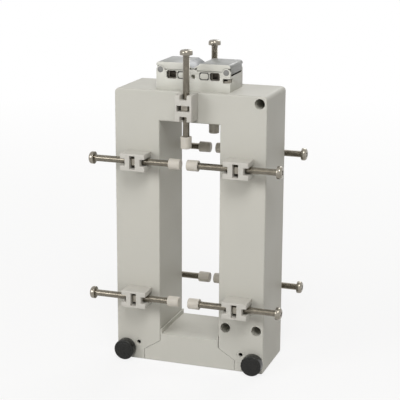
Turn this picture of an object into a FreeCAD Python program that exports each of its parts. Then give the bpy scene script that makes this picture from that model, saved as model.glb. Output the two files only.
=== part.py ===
import FreeCAD, Part
import math
import os

import Sketcher

# Split-core current transformer for a flat busbar.
# +Z is up and the origin is the middle of the housing's underside; the front faces -Y.
# A legs-down U of plastic housing holds the laminated U core and its two windings, and a yoke that
# closes the window from below drops out once the two thumb screws at its ends are loosened.
# Ten clamp screws in slotted clips grip the busbar in front of and behind the window.

doc = FreeCAD.newDocument("split_core_current_transformer")
sheet = doc.addObject("Spreadsheet::Sheet", "dims")

# Driving dimensions, millimetres
driving = [
    ("width", 140.0, "housing, left to right"),
    ("height", 252.0, "housing, underside to top face"),
    ("depth", 60.0, "housing, front face to rear face"),
    ("leg_width", 42.0, "each leg, window to side"),
    ("head_height", 27.0, "top limb, window to top face"),
    ("yoke_height", 27.0, "bottom limb, underside to window"),
    ("wall", 3.0, "housing wall"),
    ("cover", 4.0, "rear cover and yoke cover plate"),
    ("corner_radius", 4.0, "upper corners seen from the front"),
    ("foot_radius", 2.0, "lower corners seen from the front"),
    ("edge_radius", 1.2, "rounded outer edges"),
    ("seam_side", 26.4, "yoke's lower corners from the housing's side"),
    ("seam_low", 10.3, "lower end of the sloping seam above the underside"),
    ("seam_high", 20.3, "upper end of the sloping seam above the underside"),
    ("seam_gap", 0.35, "play between yoke and legs"),
    ("seat_wall", 3.6, "sloping wall at the seam, measured straight up"),
    ("lip_height", 4.3, "lips of the yoke above its window face"),
    ("lip", 1.2, "lip thickness"),
    ("core_back", 14.0, "core behind the front face"),
    ("core_well_play", 0.4, "legs of the core from the screw wells"),
    ("core_under", 4.5, "top limb of the core above the window"),
    ("core_corner", 4.1, "cut corners of the core"),
    ("foot_rise", 1.5, "inner slope of the core's feet, height over width"),
    ("core_head", 3.0, "top limb of the core below the cavity roof"),
    ("core_floor", 3.5, "core above the housing floor, on its pads"),
    ("core_top_yoke", 5.5, "yoke core below the window face"),
    ("yoke_pad", 2.0, "pad under the yoke core"),
    ("face_start", 3.5, "pole face from the window corner"),
    ("face_end", 1.5, "pole face from the yoke's end"),
    ("core_gap", 0.1, "each core face behind the seam"),
    ("core_play", 0.3, "core in its slots"),
    ("core_skin", 1.6, "yoke wall over the shoulders of its core"),
    ("bobbin_wall", 1.2, "winding former"),
    ("flange", 2.0, "flanges of the winding former"),
    ("winding", 5.0, "thickness of the coil"),
    ("coil_round", 3.0, "rounded corners of the coil"),
    ("flange_over", 0.9, "flanges beyond the coil"),
    ("coil_foot", 5.95, "lower flange above the screw wells"),
    ("coil_head", 3.0, "upper flange below the window top"),
    ("well_radius", 4.55, "deep holes of the case screws"),
    ("well_wall", 1.2, "tubes round the deep holes"),
    ("well_depth", 22.0, "deep holes to their floor"),
    ("well_floor", 3.0, "floor under the case screw head"),
    ("well_inset", 6.7, "upper and outer holes from the housing's side"),
    ("well_top", 6.6, "upper hole below the top face"),
    ("well_low", 40.3, "lower holes above the underside"),
    ("well_window", 6.5, "inner hole from the window"),
    ("case_screw_radius", 2.0, "case screw shank"),
    ("case_screw_length", 24.0, "case screw under its head"),
    ("case_head_radius", 3.7, "case screw head"),
    ("case_head_height", 3.0, "case screw head"),
    ("case_hole_play", 0.3, "case screw in its clearance hole"),
    ("pilot_play", 0.05, "case screw in its pilot hole"),
    ("post_radius", 3.3, "posts of the rear cover"),
    ("post_gap", 0.2, "post under the well floor"),
    ("boss_radius", 4.5, "screw bosses of the tub"),
    ("rear_seat", 2.2, "rear screw heads sunk in the cover"),
    ("rear_head_height", 2.0, "rear case screw head"),
    ("rear_screw_length", 16.0, "rear case screw under its head"),
    ("post_rest", 1.0, "pilot holes beyond the screws"),
    ("clip_length", 23.5, "clip along its screw"),
    ("clip_web", 14.5, "middle of the clip along its screw"),
    ("clip_across", 16.0, "clip across its screw"),
    ("clip_height", 17.0, "clip off the housing"),
    ("clip_slot", 6.6, "open slots at both ends of the clip"),
    ("clip_edge", 0.8, "rounded outer edges of the clip"),
    ("clip_inset", 22.6, "side clips from the housing's side"),
    ("upper_row", 62.7, "upper row of clips below the top face"),
    ("rows_above_window_floor", 35.7, "lower row above the window floor"),
    ("screw_off", 8.5, "clamp screw axis off the housing"),
    ("peg_radius", 1.5, "pegs under the clip"),
    ("peg_length", 2.2, "pegs under the clip"),
    ("peg_out", 5.4, "pegs from the middle of the clip"),
    ("peg_play", 0.1, "pegs in their holes"),
    ("peg_rest", 0.2, "hole deeper than the peg"),
    ("nut_flats", 10.0, "clamp nut across its flats"),
    ("nut_height", 5.0, "clamp nut"),
    ("nut_play", 0.15, "nut in its pocket, each side along the screw"),
    ("nut_side_play", 0.15, "nut corners in their pocket"),
    ("nut_seat", 0.1, "nut above its pocket floor"),
    ("thread_radius", 3.0, "clamp screw thread, outside"),
    ("thread_play", 0.06, "clamp screw in its nut"),
    ("web_play", 0.4, "clamp screw in the clip's middle"),
    ("screw_length", 80.0, "clamp screw under its head"),
    ("screw_point", 0.7, "chamfer of the screw's end"),
    ("head_radius", 5.6, "clamp screw head"),
    ("screw_head_height", 4.6, "clamp screw head"),
    ("head_round", 2.0, "rounding of the clamp screw head"),
    ("recess_half", 3.0, "arm of the cross recess"),
    ("recess_width", 1.4, "cross recess, across an arm"),
    ("recess_depth", 2.4, "cross recess"),
    ("cap_radius", 4.9, "tip cap"),
    ("cap_length", 10.5, "tip cap"),
    ("cap_end", 1.4, "tip cap beyond the screw's end"),
    ("cap_round", 0.9, "rounded end of the tip cap"),
    ("tip_front_upper_left", 4.8, "screw's cap from the middle"),
    ("tip_front_upper_right", 1.1, "screw's cap from the middle"),
    ("tip_front_lower_left", 6.0, "screw's cap from the middle"),
    ("tip_front_lower_right", 2.5, "screw's cap from the middle"),
    ("tip_rear_upper_left", 3.0, "screw's cap from the middle"),
    ("tip_rear_upper_right", 2.6, "screw's cap from the middle"),
    ("tip_rear_lower_left", 2.9, "screw's cap from the middle"),
    ("tip_rear_lower_right", 1.4, "screw's cap from the middle"),
    ("tip_front_top", 14.8, "screw's cap above the upper row"),
    ("tip_rear_top", 13.7, "screw's cap above the upper row"),
    ("knob_radius", 9.4, "thumb knob"),
    ("knob_length", 8.4, "thumb knob, front to back"),
    ("knob_round", 0.8, "rounded edges of the thumb knob"),
    ("knob_dome", 0.4, "bulge of the thumb knob's face"),
    ("knob_gap", 0.15, "knob off the housing face"),
    ("knob_inset", 9.1, "knob axis from the housing's side"),
    ("knob_rise", 9.7, "knob axis above the underside"),
    ("stud_radius", 2.5, "thumb screw stud"),
    ("stud_in_knob", 6.0, "stud inside the knob"),
    ("stud_hole_play", 0.25, "stud in the housing wall"),
    ("stud_end", 10.0, "stud beyond the collar"),
    ("collar_radius", 4.5, "stud collar behind the wall"),
    ("collar_length", 2.1, "stud collar"),
    ("collar_play", 0.2, "collar to wall and collar to lug"),
    ("lug_thick", 2.0, "slotted lug of the yoke"),
    ("lug_rise", 3.6, "lug above the stud axis"),
    ("lug_slot_play", 0.3, "stud in the lug's slot, each side"),
    ("lug_floor", 1.5, "lug above the underside"),
    ("lug_neck", 8.5, "top of the lug's neck above the underside"),
    ("lug_root", 34.0, "inner end of the lug from the middle"),
    ("lug_side_play", 0.3, "lug in the slots it passes"),
    ("lug_end_play", 0.4, "lug from the housing's side wall"),
    ("insert_width", 12.8, "threaded insert, left to right"),
    ("insert_height", 13.4, "threaded insert"),
    ("insert_depth", 5.5, "threaded insert, front to back"),
    ("seal_radius", 2.0, "sealing holes"),
    ("seal_out", 49.0, "corner sealing holes from the middle"),
    ("seal_rise", 16.2, "corner sealing holes above the underside"),
    ("seal_ring", 3.7, "sunk ring round a corner sealing hole"),
    ("seal_ring_depth", 0.3, "sunk ring round a corner sealing hole"),
    ("block_half", 34.0, "terminal block, half width"),
    ("block_back", 9.0, "terminal block behind the front face"),
    ("block_depth", 36.0, "terminal block, front to back"),
    ("block_height", 23.8, "terminal block with its lids above the top face"),
    ("block_wall", 2.5, "terminal block walls"),
    ("block_floor", 4.0, "terminal block floor"),
    ("partition", 8.4, "between the two terminal wells"),
    ("rib_down", 5.6, "rib between the lids below their top"),
    ("pivot_in", 3.8, "lid pivot from the block's side"),
    ("pivot_down", 6.8, "lid pivot below the lid's top"),
    ("pivot_radius", 2.6, "lid pivot pins"),
    ("pivot_play", 0.08, "lid pivot pins in their holes"),
    ("pivot_relief", 5.0, "room round the pivot for the lid's skirt"),
    ("eye_radius", 3.6, "eyes of the end walls round the pivot pins"),
    ("lid_middle", 0.3, "each lid from the middle"),
    ("lid_valley", 4.3, "lid's edge at the middle below its top"),
    ("lid_slope", 6.7, "sloping margin of the lid at the middle"),
    ("lid_wall", 1.6, "lid thickness"),
    ("lid_edge", 1.0, "lid thickness at the middle"),
    ("lid_round", 2.5, "rounded outer edge of the lid"),
    ("ear", 2.0, "ears that carry the lid's pivot pins"),
    ("skirt", 2.0, "skirt of the lid beside the pivot"),
    ("skirt_drop", 8.6, "skirt below the lid's top"),
    ("skirt_play", 0.2, "skirt between the end walls"),
    ("skirt_floor", 1.4, "skirt above the block's low side walls"),
    ("flap_in", 3.5, "end flaps of the lid from the middle"),
    ("flap_drop", 5.9, "end flaps below the lid's top"),
    ("flap_play", 0.3, "end flaps from the block"),
    ("flap_over", 3.7, "outer corner of the end flaps above the pivot"),
    ("ledge_height", 1.0, "sunk strip under the end flaps"),
    ("ledge_depth", 1.2, "sunk strip under the end flaps"),
    ("port_over", 0.5, "wire port beyond its clamp, each side"),
    ("port_height", 7.2, "wire ports"),
    ("port_corner", 1.2, "cut corners of the wire ports"),
    ("port_rise", 12.9, "wire ports above the top face, middle"),
    ("port_line", 0.2, "outline of a closed port inside an open one's"),
    ("port_groove", 0.9, "outline of a closed port"),
    ("port_groove_depth", 1.0, "outline of a closed port"),
    ("seal_block_rise", 12.1, "sealing hole of the terminal block above the top face"),
    ("seal_block_depth", 6.0, "sealing hole of the terminal block"),
    ("clamp_inner", 1.7, "terminal clamps from the partition"),
    ("clamp_gap", 1.3, "between the two clamps of a well"),
    ("clamp_wall", 1.3, "terminal clamp beside its mouth"),
    ("clamp_depth", 9.0, "terminal clamp, front to back"),
    ("clamp_height", 12.2, "terminal clamp"),
    ("clamp_mouth_height", 5.2, "wire mouth of a terminal clamp"),
    ("clamp_mouth_depth", 7.8, "wire mouth of a terminal clamp"),
    ("clamp_back", 0.5, "terminal clamp behind the front wall"),
    ("bar_thick", 2.0, "terminal bar"),
    ("bar_end", 2.0, "terminal bar from the well's rear wall"),
    ("bar_play", 0.6, "terminal bar from the well's walls"),
    ("terminal_screw_radius", 1.75, "terminal screw shank"),
    ("terminal_head_radius", 3.1, "terminal screw head"),
    ("terminal_head", 2.4, "terminal screw head"),
    ("terminal_screw_length", 1.8, "terminal screw under its head"),
    ("notch_width", 6.8, "opening at the block's right front corner"),
    ("notch_height", 4.0, "opening at the block's right front corner"),
    ("notch_depth", 7.0, "opening at the block's right front corner"),
    ("notch_rise", 7.7, "opening above the top face"),
    ("link_length", 8.0, "end of the shorting link"),
    ("link_rest", 9.1, "rib under the end of the shorting link"),
    ("rest_play", 0.2, "rib from the terminal clamps"),
    ("link_depth", 3.8, "end of the shorting link"),
    ("link_thick", 1.6, "end of the shorting link"),
    ("link_in", 0.7, "link behind the block's side"),
    ("link_head", 1.7, "screw head on the shorting link"),
    ("link_head_in", 2.0, "that head from the link's end"),
    ("link_head_height", 1.2, "screw head on the shorting link"),
    ("wire_radius", 0.8, "leads"),
    ("wire_hole", 1.5, "holes for the leads"),
    ("wire_bend", 2.5, "bends of the leads"),
    ("wire_back", 4.5, "leads behind the core"),
    ("wire_coil", 12.0, "leads from the window at the coil"),
    ("wire_join", 7.0, "joining lead from the window at the coils"),
    ("wire_edge", 2.5, "leads from the rear end of the terminal bars"),
    ("wire_top", 1.3, "leads below the cavity roof"),
    ("link_rise", 12.0, "joining lead above the coils"),
    ("pad_width", 4.5, "pads under the core"),
    ("tiny", 1.0, "cuts run this far past a face"),
]


class Size:
    """A length together with the sheet formula that gives it."""

    def __init__(self, value, text=None):
        self.value = float(value)
        self.text = text or repr(float(value))

    def __float__(self):
        return self.value

    def __add__(self, other):
        other = size(other)
        return Size(self.value + other.value, f"({self.text} + {other.text})")

    def __radd__(self, other):
        return size(other) + self

    def __sub__(self, other):
        other = size(other)
        return Size(self.value - other.value, f"({self.text} - {other.text})")

    def __rsub__(self, other):
        return size(other) - self

    def __mul__(self, other):
        other = size(other)
        return Size(self.value * other.value, f"({self.text} * {other.text})")

    __rmul__ = __mul__

    def __truediv__(self, other):
        other = size(other)
        return Size(self.value / other.value, f"({self.text} / {other.text})")

    def __neg__(self):
        return Size(-self.value, f"(0 - {self.text})")


def diagonal(a, b):
    return Size(math.hypot(float(a), float(b)), f"hypot({a.text}; {b.text})")


def direction(x, y):
    """Angle of (x, y) from the X axis in degrees."""
    return Size(math.degrees(math.atan2(float(y), float(x))), f"atan2({y.text}; {x.text})")


def size(value):
    return value if isinstance(value, Size) else Size(value)


class Sizes:
    """The driving dimensions by name."""


d = Sizes()
for row, (alias, value, note) in enumerate(driving, start=1):
    sheet.set(f"A{row}", alias)
    sheet.set(f"B{row}", repr(value))
    sheet.set(f"C{row}", note)
    sheet.setAlias(f"B{row}", alias)
    setattr(d, alias, Size(value, f"dims.{alias}"))
doc.recompute()

pieces = []
planes = {"Y": "XZ_Plane", "Z": "XY_Plane", "X": "YZ_Plane"}


class Round:
    """A circle in a sketch."""

    def __init__(self, x, y, radius):
        self.x, self.y, self.radius = size(x), size(y), size(radius)


def bind(item, path, length):
    item.setExpression(path, size(length).text)


def new_body(label):
    body = doc.addObject("PartDesign::Body", label)
    body.Label = label
    body.AllowCompound = True
    pieces.append(body)
    return body


def place(item, x=0, y=0, z=0, rotation=None):
    """Puts a sub-part at a bound place."""
    item.Placement = FreeCAD.Placement(FreeCAD.Vector(), rotation or FreeCAD.Rotation())
    for name, value in zip("xyz", (x, y, z)):
        bind(item, f"Placement.Base.{name}", value)
    return item


def draw(sketch, loop):
    """Adds one closed loop to a sketch and ties every corner or centre to the origin."""
    first = sketch.GeometryCount
    if isinstance(loop, Round):
        centre = FreeCAD.Vector(float(loop.x), float(loop.y), 0)
        sketch.addGeometry(Part.Circle(centre, FreeCAD.Vector(0, 0, 1), float(loop.radius)), False)
        tie(sketch, "DistanceX", (first, 3), loop.x)
        tie(sketch, "DistanceY", (first, 3), loop.y)
        index = sketch.addConstraint(Sketcher.Constraint("Radius", first, float(loop.radius)))
        bind(sketch, f"Constraints[{index}]", loop.radius)
        return
    corners = [FreeCAD.Vector(float(x), float(y), 0) for x, y in loop]
    for k, corner in enumerate(corners):
        sketch.addGeometry(Part.LineSegment(corner, corners[(k + 1) % len(corners)]), False)
    for k in range(len(corners)):
        joined = first + (k + 1) % len(corners)
        sketch.addConstraint(Sketcher.Constraint("Coincident", first + k, 2, joined, 1))
    for k, (x, y) in enumerate(loop):
        tie(sketch, "DistanceX", (first + k, 1), x)
        tie(sketch, "DistanceY", (first + k, 1), y)


def tie(sketch, kind, point, length):
    index = sketch.addConstraint(Sketcher.Constraint(kind, -1, 1, *point, float(length)))
    bind(sketch, f"Constraints[{index}]", length)


def sketch_on(body, axis, level, loops):
    """A sketch square to an axis; on Y its second direction is Z, and on X they are Y and Z."""
    sketch = body.newObject("Sketcher::SketchObject", f"{body.Label}_outline")
    plane = [f for f in body.Origin.OriginFeatures if f.Role == planes[axis]][0]
    sketch.AttachmentSupport = [(plane, "")]
    sketch.MapMode = "FlatFace"
    bind(sketch, "AttachmentOffset.Base.z", -size(level) if axis == "Y" else level)
    for loop in loops:
        draw(sketch, loop)
    return sketch


def extrude(body, axis, start, end, *loops, cut=False):
    """Adds or cuts straight from start to end along an axis."""
    kind = "Pocket" if cut else "Pad"
    feature = body.newObject(f"PartDesign::{kind}", f"{body.Label}_{kind.lower()}")
    feature.Profile = sketch_on(body, axis, start, loops)
    bind(feature, "Length", size(end) - start)
    feature.Reversed = (axis == "Y") != cut
    return feature


def carve(body, axis, start, end, *loops):
    return extrude(body, axis, start, end, *loops, cut=True)


def turn(body, outline):
    """Turns an outline of (x, radius) corners about the body's X axis."""
    corners = [(size(x), size(radius)) for x, radius in outline]
    sketch = sketch_on(body, "Y", 0, [corners])
    feature = body.newObject("PartDesign::Revolution", f"{body.Label}_turned")
    feature.Profile = sketch
    feature.ReferenceAxis = (sketch, ["H_Axis"])
    feature.Angle = 360
    return feature


def round_off(body, radius, wanted):
    """Rounds the edges of the body for which wanted(edge) is true."""
    doc.recompute()
    base = body.Tip
    names = [f"Edge{k}" for k, edge in enumerate(base.Shape.Edges, start=1) if wanted(edge)]
    feature = body.newObject("PartDesign::Fillet", f"{body.Label}_round")
    feature.Base = (base, names)
    bind(feature, "Radius", radius)
    return feature


def close(a, b):
    return abs(float(a) - float(b)) < 1e-4


def lies_at(edge, axis, level):
    """True if every end of the edge is at one level along an axis."""
    return all(close(getattr(v.Point, axis), level) for v in edge.Vertexes)


def runs_along(edge, axis):
    """True if a straight edge runs along an axis."""
    if len(edge.Vertexes) != 2:
        return False
    span = edge.Vertexes[1].Point - edge.Vertexes[0].Point
    return close(abs(getattr(span, axis)), span.Length)


def rectangle(x0, x1, y0, y1):
    return [(size(x), size(y)) for x, y in ((x0, y0), (x1, y0), (x1, y1), (x0, y1))]


def both_sides(outer, inner=()):
    """A loop from its right half: outer corners from the bottom up, inner ones back down."""
    right = [(size(x), size(z)) for x, z in outer]
    back = [(size(x), size(z)) for x, z in inner]
    left = [(-x, z) for x, z in reversed(right)]
    left_back = [(-x, z) for x, z in reversed(back)]
    return right + left + left_back + back


def sides(x):
    return size(x), -size(x)


# Levels and places that several pieces share
half_width = d.width / 2
front = -(d.depth / 2)
rear = d.depth / 2
parting = rear - d.cover
window_half = half_width - d.leg_width
window_top = d.height - d.head_height
seam_half = half_width - d.seam_side
slope = (d.seam_high - d.seam_low) / (seam_half - window_half)
block_x = seam_half + d.wall
wall_x = half_width - d.wall
well_out = d.well_radius + d.well_wall
core_inner = window_half + d.well_window + well_out + d.core_well_play
core_outer = half_width - d.well_inset - well_out - d.core_well_play
core_half = d.depth / 2 - d.core_back
core_slot = core_half + d.core_play
face_near = window_half + d.face_start
face_far = seam_half - d.face_end
flange_low = d.well_low + well_out + d.coil_foot
flange_high = window_top - d.coil_head
yoke_end = seam_half - d.seam_gap
yoke_side = window_half - d.seam_gap
yoke_core_top = d.yoke_height - d.core_top_yoke
yoke_core_floor = d.wall + d.yoke_pad
row_low = d.yoke_height + d.rows_above_window_floor
row_high = d.height - d.upper_row
clip_out = half_width - d.clip_inset
knob_x = half_width - d.knob_inset
collar_start = front + d.wall + d.collar_play
collar_end = collar_start + d.collar_length
lug_front = collar_end + d.collar_play
lug_back = lug_front + d.lug_thick
lug_top = d.knob_rise + d.lug_rise
nut_corner = d.nut_flats / math.sqrt(3)
block_front = front + d.block_back
block_rear = block_front + d.block_depth
block_top = d.height + d.block_height
well_front = block_front + d.block_wall
well_rear = block_rear - d.block_wall
well_floor = d.height + d.block_floor
well_side = d.block_half - d.block_wall
clamp_front = well_front + d.clamp_back
end_walls = ((block_front, well_front), (well_rear, block_rear))
wall_top = block_top - d.flap_drop - d.flap_play
side_top = block_top - d.skirt_drop - d.skirt_floor
pivot_x = d.block_half - d.pivot_in
pivot_z = block_top - d.pivot_down
ports = d.height + d.port_rise
clamp_near = d.partition / 2 + d.clamp_inner
clamp_far = d.block_half - d.link_in - d.link_rest - d.rest_play
clamp_width = (clamp_far - clamp_near - d.clamp_gap) / 2
port_inner = clamp_near + clamp_width / 2
port_outer = clamp_far - clamp_width / 2
bar_rear = well_rear - d.bar_end
lead_y = bar_rear - d.wire_edge
case_screws = [
    (half_width - d.well_inset, d.height - d.well_top),
    (half_width - d.well_inset, d.well_low),
    (window_half + d.well_window, d.well_low),
]


def seam(x, above=0):
    """Height of the sloping seam at x, moved straight up."""
    return d.seam_high + above - (size(x) - window_half) * slope


def case_rounds(way, radius):
    """Circles at the case screws of the right (1) or left (-1) leg."""
    return [Round(x * way, z, radius) for x, z in case_screws]


def housing_outline():
    """The U of the housing seen from the front, open at the bottom for the yoke."""
    return both_sides(
        [
            (seam_half, 0),
            (half_width, 0),
            (half_width, d.height),
        ],
        [
            (window_half, window_top),
            (window_half, d.seam_high),
            (seam_half, d.seam_low),
        ],
    )


def round_corners(body):
    """Rounds the housing's four outer corners seen from the front."""
    for radius, high in ((d.corner_radius, True), (d.foot_radius, False)):
        round_off(body, radius, lambda edge: runs_along(edge, "y") and is_corner(edge, high))


def is_corner(edge, high):
    middle = edge.CenterOfMass
    return close(abs(middle.x), half_width) and close(middle.z, d.height if high else 0)


def round_face(body, level):
    """Rounds the outer and window edges of one face, and leaves those along the seam sharp."""
    def beyond_seam(vertex):
        above = vertex.Point.z > float(d.seam_high) + 1
        return above or abs(vertex.Point.x) > float(seam_half) + 1

    round_off(
        body,
        d.edge_radius,
        lambda edge: lies_at(edge, "y", level) and any(map(beyond_seam, edge.Vertexes)),
    )


def clip_places():
    """Every clip: name, x, z, level of its face, which way its screw's head points."""
    found = []
    for face, level in (("front", front), ("rear", rear)):
        for row, z in (("upper", row_high), ("lower", row_low)):
            found.append((f"{face}_{row}_left", -clip_out, z, level, "left"))
            found.append((f"{face}_{row}_right", clip_out, z, level, "right"))
        found.append((f"{face}_top", size(0), d.height - d.clip_length / 2, level, "up"))
    return found


def peg_holes(face):
    """Two peg holes for each clip on one face."""
    holes = []
    for name, x, z, level, head in clip_places():
        if not name.startswith(face):
            continue
        for offset in sides(d.peg_out):
            spot = (x + offset, z) if head == "up" else (x, z + offset)
            holes.append(Round(*spot, d.peg_radius + d.peg_play))
    return holes


# Housing tub: front face and all side walls in one moulding, open at the back
def make_tub():
    tub = new_body("housing_tub")
    extrude(tub, "Y", front, parting, housing_outline())
    round_corners(tub)
    round_face(tub, front)
    inner = window_half + d.wall
    cavity = both_sides(
        [
            (block_x, d.wall),
            (wall_x, d.wall),
            (wall_x, d.height - d.wall),
        ],
        [
            (inner, window_top + d.wall),
            (inner, seam(inner, d.seat_wall)),
            (block_x, seam(block_x, d.seat_wall)),
        ],
    )
    carve(tub, "Y", front + d.wall, parting + d.tiny, cavity)
    add_case_wells(tub)
    for way in (1, -1):
        open_pole_slot(tub, way)
        open_lug_slots(tub, way)
    studs = [Round(x, d.knob_rise, d.stud_radius + d.stud_hole_play) for x in sides(knob_x)]
    carve(tub, "Y", front - d.tiny, front + d.wall + d.tiny, *studs)
    rings = [Round(x, d.seal_rise, d.seal_ring) for x in sides(d.seal_out)]
    carve(tub, "Y", front - d.tiny, front + d.seal_ring_depth, *rings)
    seals = [Round(x, d.seal_rise, d.seal_radius) for x in sides(d.seal_out)]
    carve(tub, "Y", front - d.tiny, front + d.wall + d.tiny, *seals)
    carve(tub, "Y", front - d.tiny, front + d.peg_length + d.peg_rest, *peg_holes("front"))
    roof = d.height - d.wall
    leads = [Round(x, lead_y, d.wire_hole) for x in sides(port_outer)]
    carve(tub, "Z", roof - d.tiny, d.height + d.tiny, *leads)


def add_case_wells(tub):
    """Deep screw wells in the right leg, bosses for the screws from the rear in the left one."""
    inside = front + d.wall / 2
    floor = front + d.well_depth
    under = floor + d.well_floor
    extrude(tub, "Y", inside, under, *case_rounds(1, d.well_radius + d.well_wall))
    carve(tub, "Y", front - d.tiny, floor, *case_rounds(1, d.well_radius))
    clear = d.case_screw_radius + d.case_hole_play
    carve(tub, "Y", floor - d.tiny, under + d.tiny, *case_rounds(1, clear))
    extrude(tub, "Y", inside, parting, *case_rounds(-1, d.boss_radius))
    pilot = d.case_screw_radius + d.pilot_play
    end = rear - d.rear_seat - d.rear_screw_length - d.post_rest
    carve(tub, "Y", end, parting + d.tiny, *case_rounds(-1, pilot))


def open_pole_slot(tub, way):
    """The pole face of the core comes through the sloping wall."""
    near = face_near - d.core_play
    far = face_far + d.core_play
    over = d.seat_wall + d.tiny
    slot = [
        (near * way, seam(near, -d.tiny)),
        (far * way, seam(far, -d.tiny)),
        (far * way, seam(far, over)),
        (near * way, seam(near, over)),
    ]
    carve(tub, "Y", -core_slot, core_slot, slot)


def open_lug_slots(tub, way):
    """The yoke's lug comes in from below, through the floor and beside the seam."""
    inner = (seam_half - d.tiny) * way
    neck = rectangle(inner, (block_x + d.tiny) * way, -d.tiny, d.lug_neck + d.lug_side_play)
    under = rectangle(block_x * way, wall_x * way, -d.tiny, d.wall + d.tiny)
    for outline in (neck, under):
        carve(tub, "Y", lug_front - d.lug_side_play, lug_back + d.lug_side_play, outline)


# Rear cover: plate with sunk screw heads on the left and posts for the long screws on the right
def make_rear_cover():
    cover = new_body("rear_cover")
    extrude(cover, "Y", parting, rear, housing_outline())
    round_corners(cover)
    round_face(cover, rear)
    seat = rear - d.rear_seat
    carve(cover, "Y", seat, rear + d.tiny, *case_rounds(-1, d.well_radius))
    clear = d.case_screw_radius + d.case_hole_play
    carve(cover, "Y", parting - d.tiny, seat + d.tiny, *case_rounds(-1, clear))
    post_start = front + d.well_depth + d.well_floor + d.post_gap
    extrude(cover, "Y", post_start, parting + d.cover / 2, *case_rounds(1, d.post_radius))
    pilot = d.case_screw_radius + d.pilot_play
    pilot_end = front + d.well_depth + d.case_screw_length + d.post_rest
    carve(cover, "Y", post_start - d.tiny, pilot_end, *case_rounds(1, pilot))
    carve(cover, "Y", rear - d.peg_length - d.peg_rest, rear + d.tiny, *peg_holes("rear"))


# Laminated U core, its legs turned in at the bottom to the sloping pole faces
def make_core():
    core = new_body("u_core")
    block = block_x + d.core_play
    over_wall = d.seat_wall + d.core_play
    floor = d.wall + d.core_floor
    top = d.height - d.wall - d.core_head
    shoulder = seam(face_near, d.core_gap + d.seat_wall)
    outline = both_sides(
        [
            (face_near, seam(face_near, d.core_gap)),
            (face_far, seam(face_far, d.core_gap)),
            (face_far, seam(face_far, over_wall)),
            (block, seam(block, over_wall)),
            (block, floor),
            (core_outer - d.core_corner, floor),
            (core_outer, floor + d.core_corner),
            (core_outer, top - d.core_corner),
            (core_outer - d.core_corner, top),
        ],
        [
            (core_inner, window_top + d.core_under),
            (core_inner, shoulder + (core_inner - face_near) * d.foot_rise),
            (face_near, shoulder),
        ],
    )
    extrude(core, "Y", -core_half, core_half, outline)


def make_core_pads():
    """Two pads under the turned-in feet of the core."""
    pads = new_body("core_pads")
    outer = core_outer - d.core_corner
    floor = d.wall + d.core_floor
    feet = [rectangle(outer * way, (outer - d.pad_width) * way, d.wall, floor) for way in (1, -1)]
    extrude(pads, "Y", -core_half, core_half, *feet)


# Winding formers and coils, one on each leg
def make_coil(side, x):
    bore_x = (core_outer - core_inner) / 2 + d.core_play

    def ring(grow):
        return rectangle(-(bore_x + grow), bore_x + grow, -(core_slot + grow), core_slot + grow)

    former = new_body(f"{side}_winding_former")
    wall_middle = d.bobbin_wall / 2
    over = d.bobbin_wall + d.winding + d.flange_over
    extrude(former, "Z", flange_low, flange_high, ring(d.bobbin_wall), ring(0))
    extrude(former, "Z", flange_low, flange_low + d.flange, ring(over), ring(wall_middle))
    extrude(former, "Z", flange_high - d.flange, flange_high, ring(over), ring(wall_middle))
    coil = new_body(f"{side}_winding")
    outside = d.bobbin_wall + d.winding
    low, high = flange_low + d.flange, flange_high - d.flange
    extrude(coil, "Z", low, high, ring(outside), ring(d.bobbin_wall))
    middle = float(core_slot + d.bobbin_wall + d.winding / 2)
    round_off(
        coil,
        d.coil_round,
        lambda edge: runs_along(edge, "z") and abs(edge.CenterOfMass.y) > middle,
    )
    for item in (former, coil):
        place(item, x=x)


# Yoke: the bottom limb, which drops out downwards with its core piece and two slotted lugs
def yoke_outline():
    lip_top = d.yoke_height + d.lip_height
    return both_sides(
        [
            (yoke_end, 0),
            (yoke_end, seam(yoke_end, -d.seam_gap)),
            (yoke_side, seam(yoke_side, -d.seam_gap)),
            (yoke_side, lip_top),
            (yoke_side - d.lip, lip_top),
            (yoke_side - d.lip, d.yoke_height),
        ]
    )


def make_yoke():
    shell = new_body("yoke_shell")
    extrude(shell, "Y", front, parting, yoke_outline())
    round_off(shell, d.edge_radius, lambda e: lies_at(e, "y", front) and close(e.CenterOfMass.z, 0))
    inner = yoke_side - d.wall
    end = yoke_end - d.wall
    under = -d.seam_gap - d.seat_wall
    room = both_sides(
        [
            (end, d.wall),
            (end, seam(end, under)),
            (inner, seam(inner, under)),
            (inner, d.yoke_height - d.wall),
        ]
    )
    carve(shell, "Y", front + d.wall, parting + d.tiny, room)
    near = face_near - d.core_play
    far = face_far + d.core_play
    start = inner - d.tiny
    for way in (1, -1):
        opening = [
            (start * way, seam(start, -d.core_skin)),
            (near * way, seam(near, -d.core_skin)),
            (near * way, seam(near, d.tiny)),
            (far * way, seam(far, d.tiny)),
            (far * way, pole_floor()),
            (start * way, pole_floor()),
        ]
        carve(shell, "Y", -core_slot, core_slot, opening)
        gate = rectangle(
            (d.lug_root - d.collar_play) * way,
            (yoke_end + d.tiny) * way,
            d.lug_floor,
            d.lug_neck + d.collar_play,
        )
        carve(shell, "Y", lug_front - d.collar_play / 2, lug_back + d.collar_play / 2, gate)
    cover = new_body("yoke_cover")
    extrude(cover, "Y", parting, rear, yoke_outline())
    round_off(cover, d.edge_radius, lambda e: lies_at(e, "y", rear) and close(e.CenterOfMass.z, 0))


def pole_floor():
    """Lower edge of the opening that lets the yoke core reach its pole faces."""
    return seam(face_far, -d.seam_gap - d.seat_wall - d.tiny)


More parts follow.
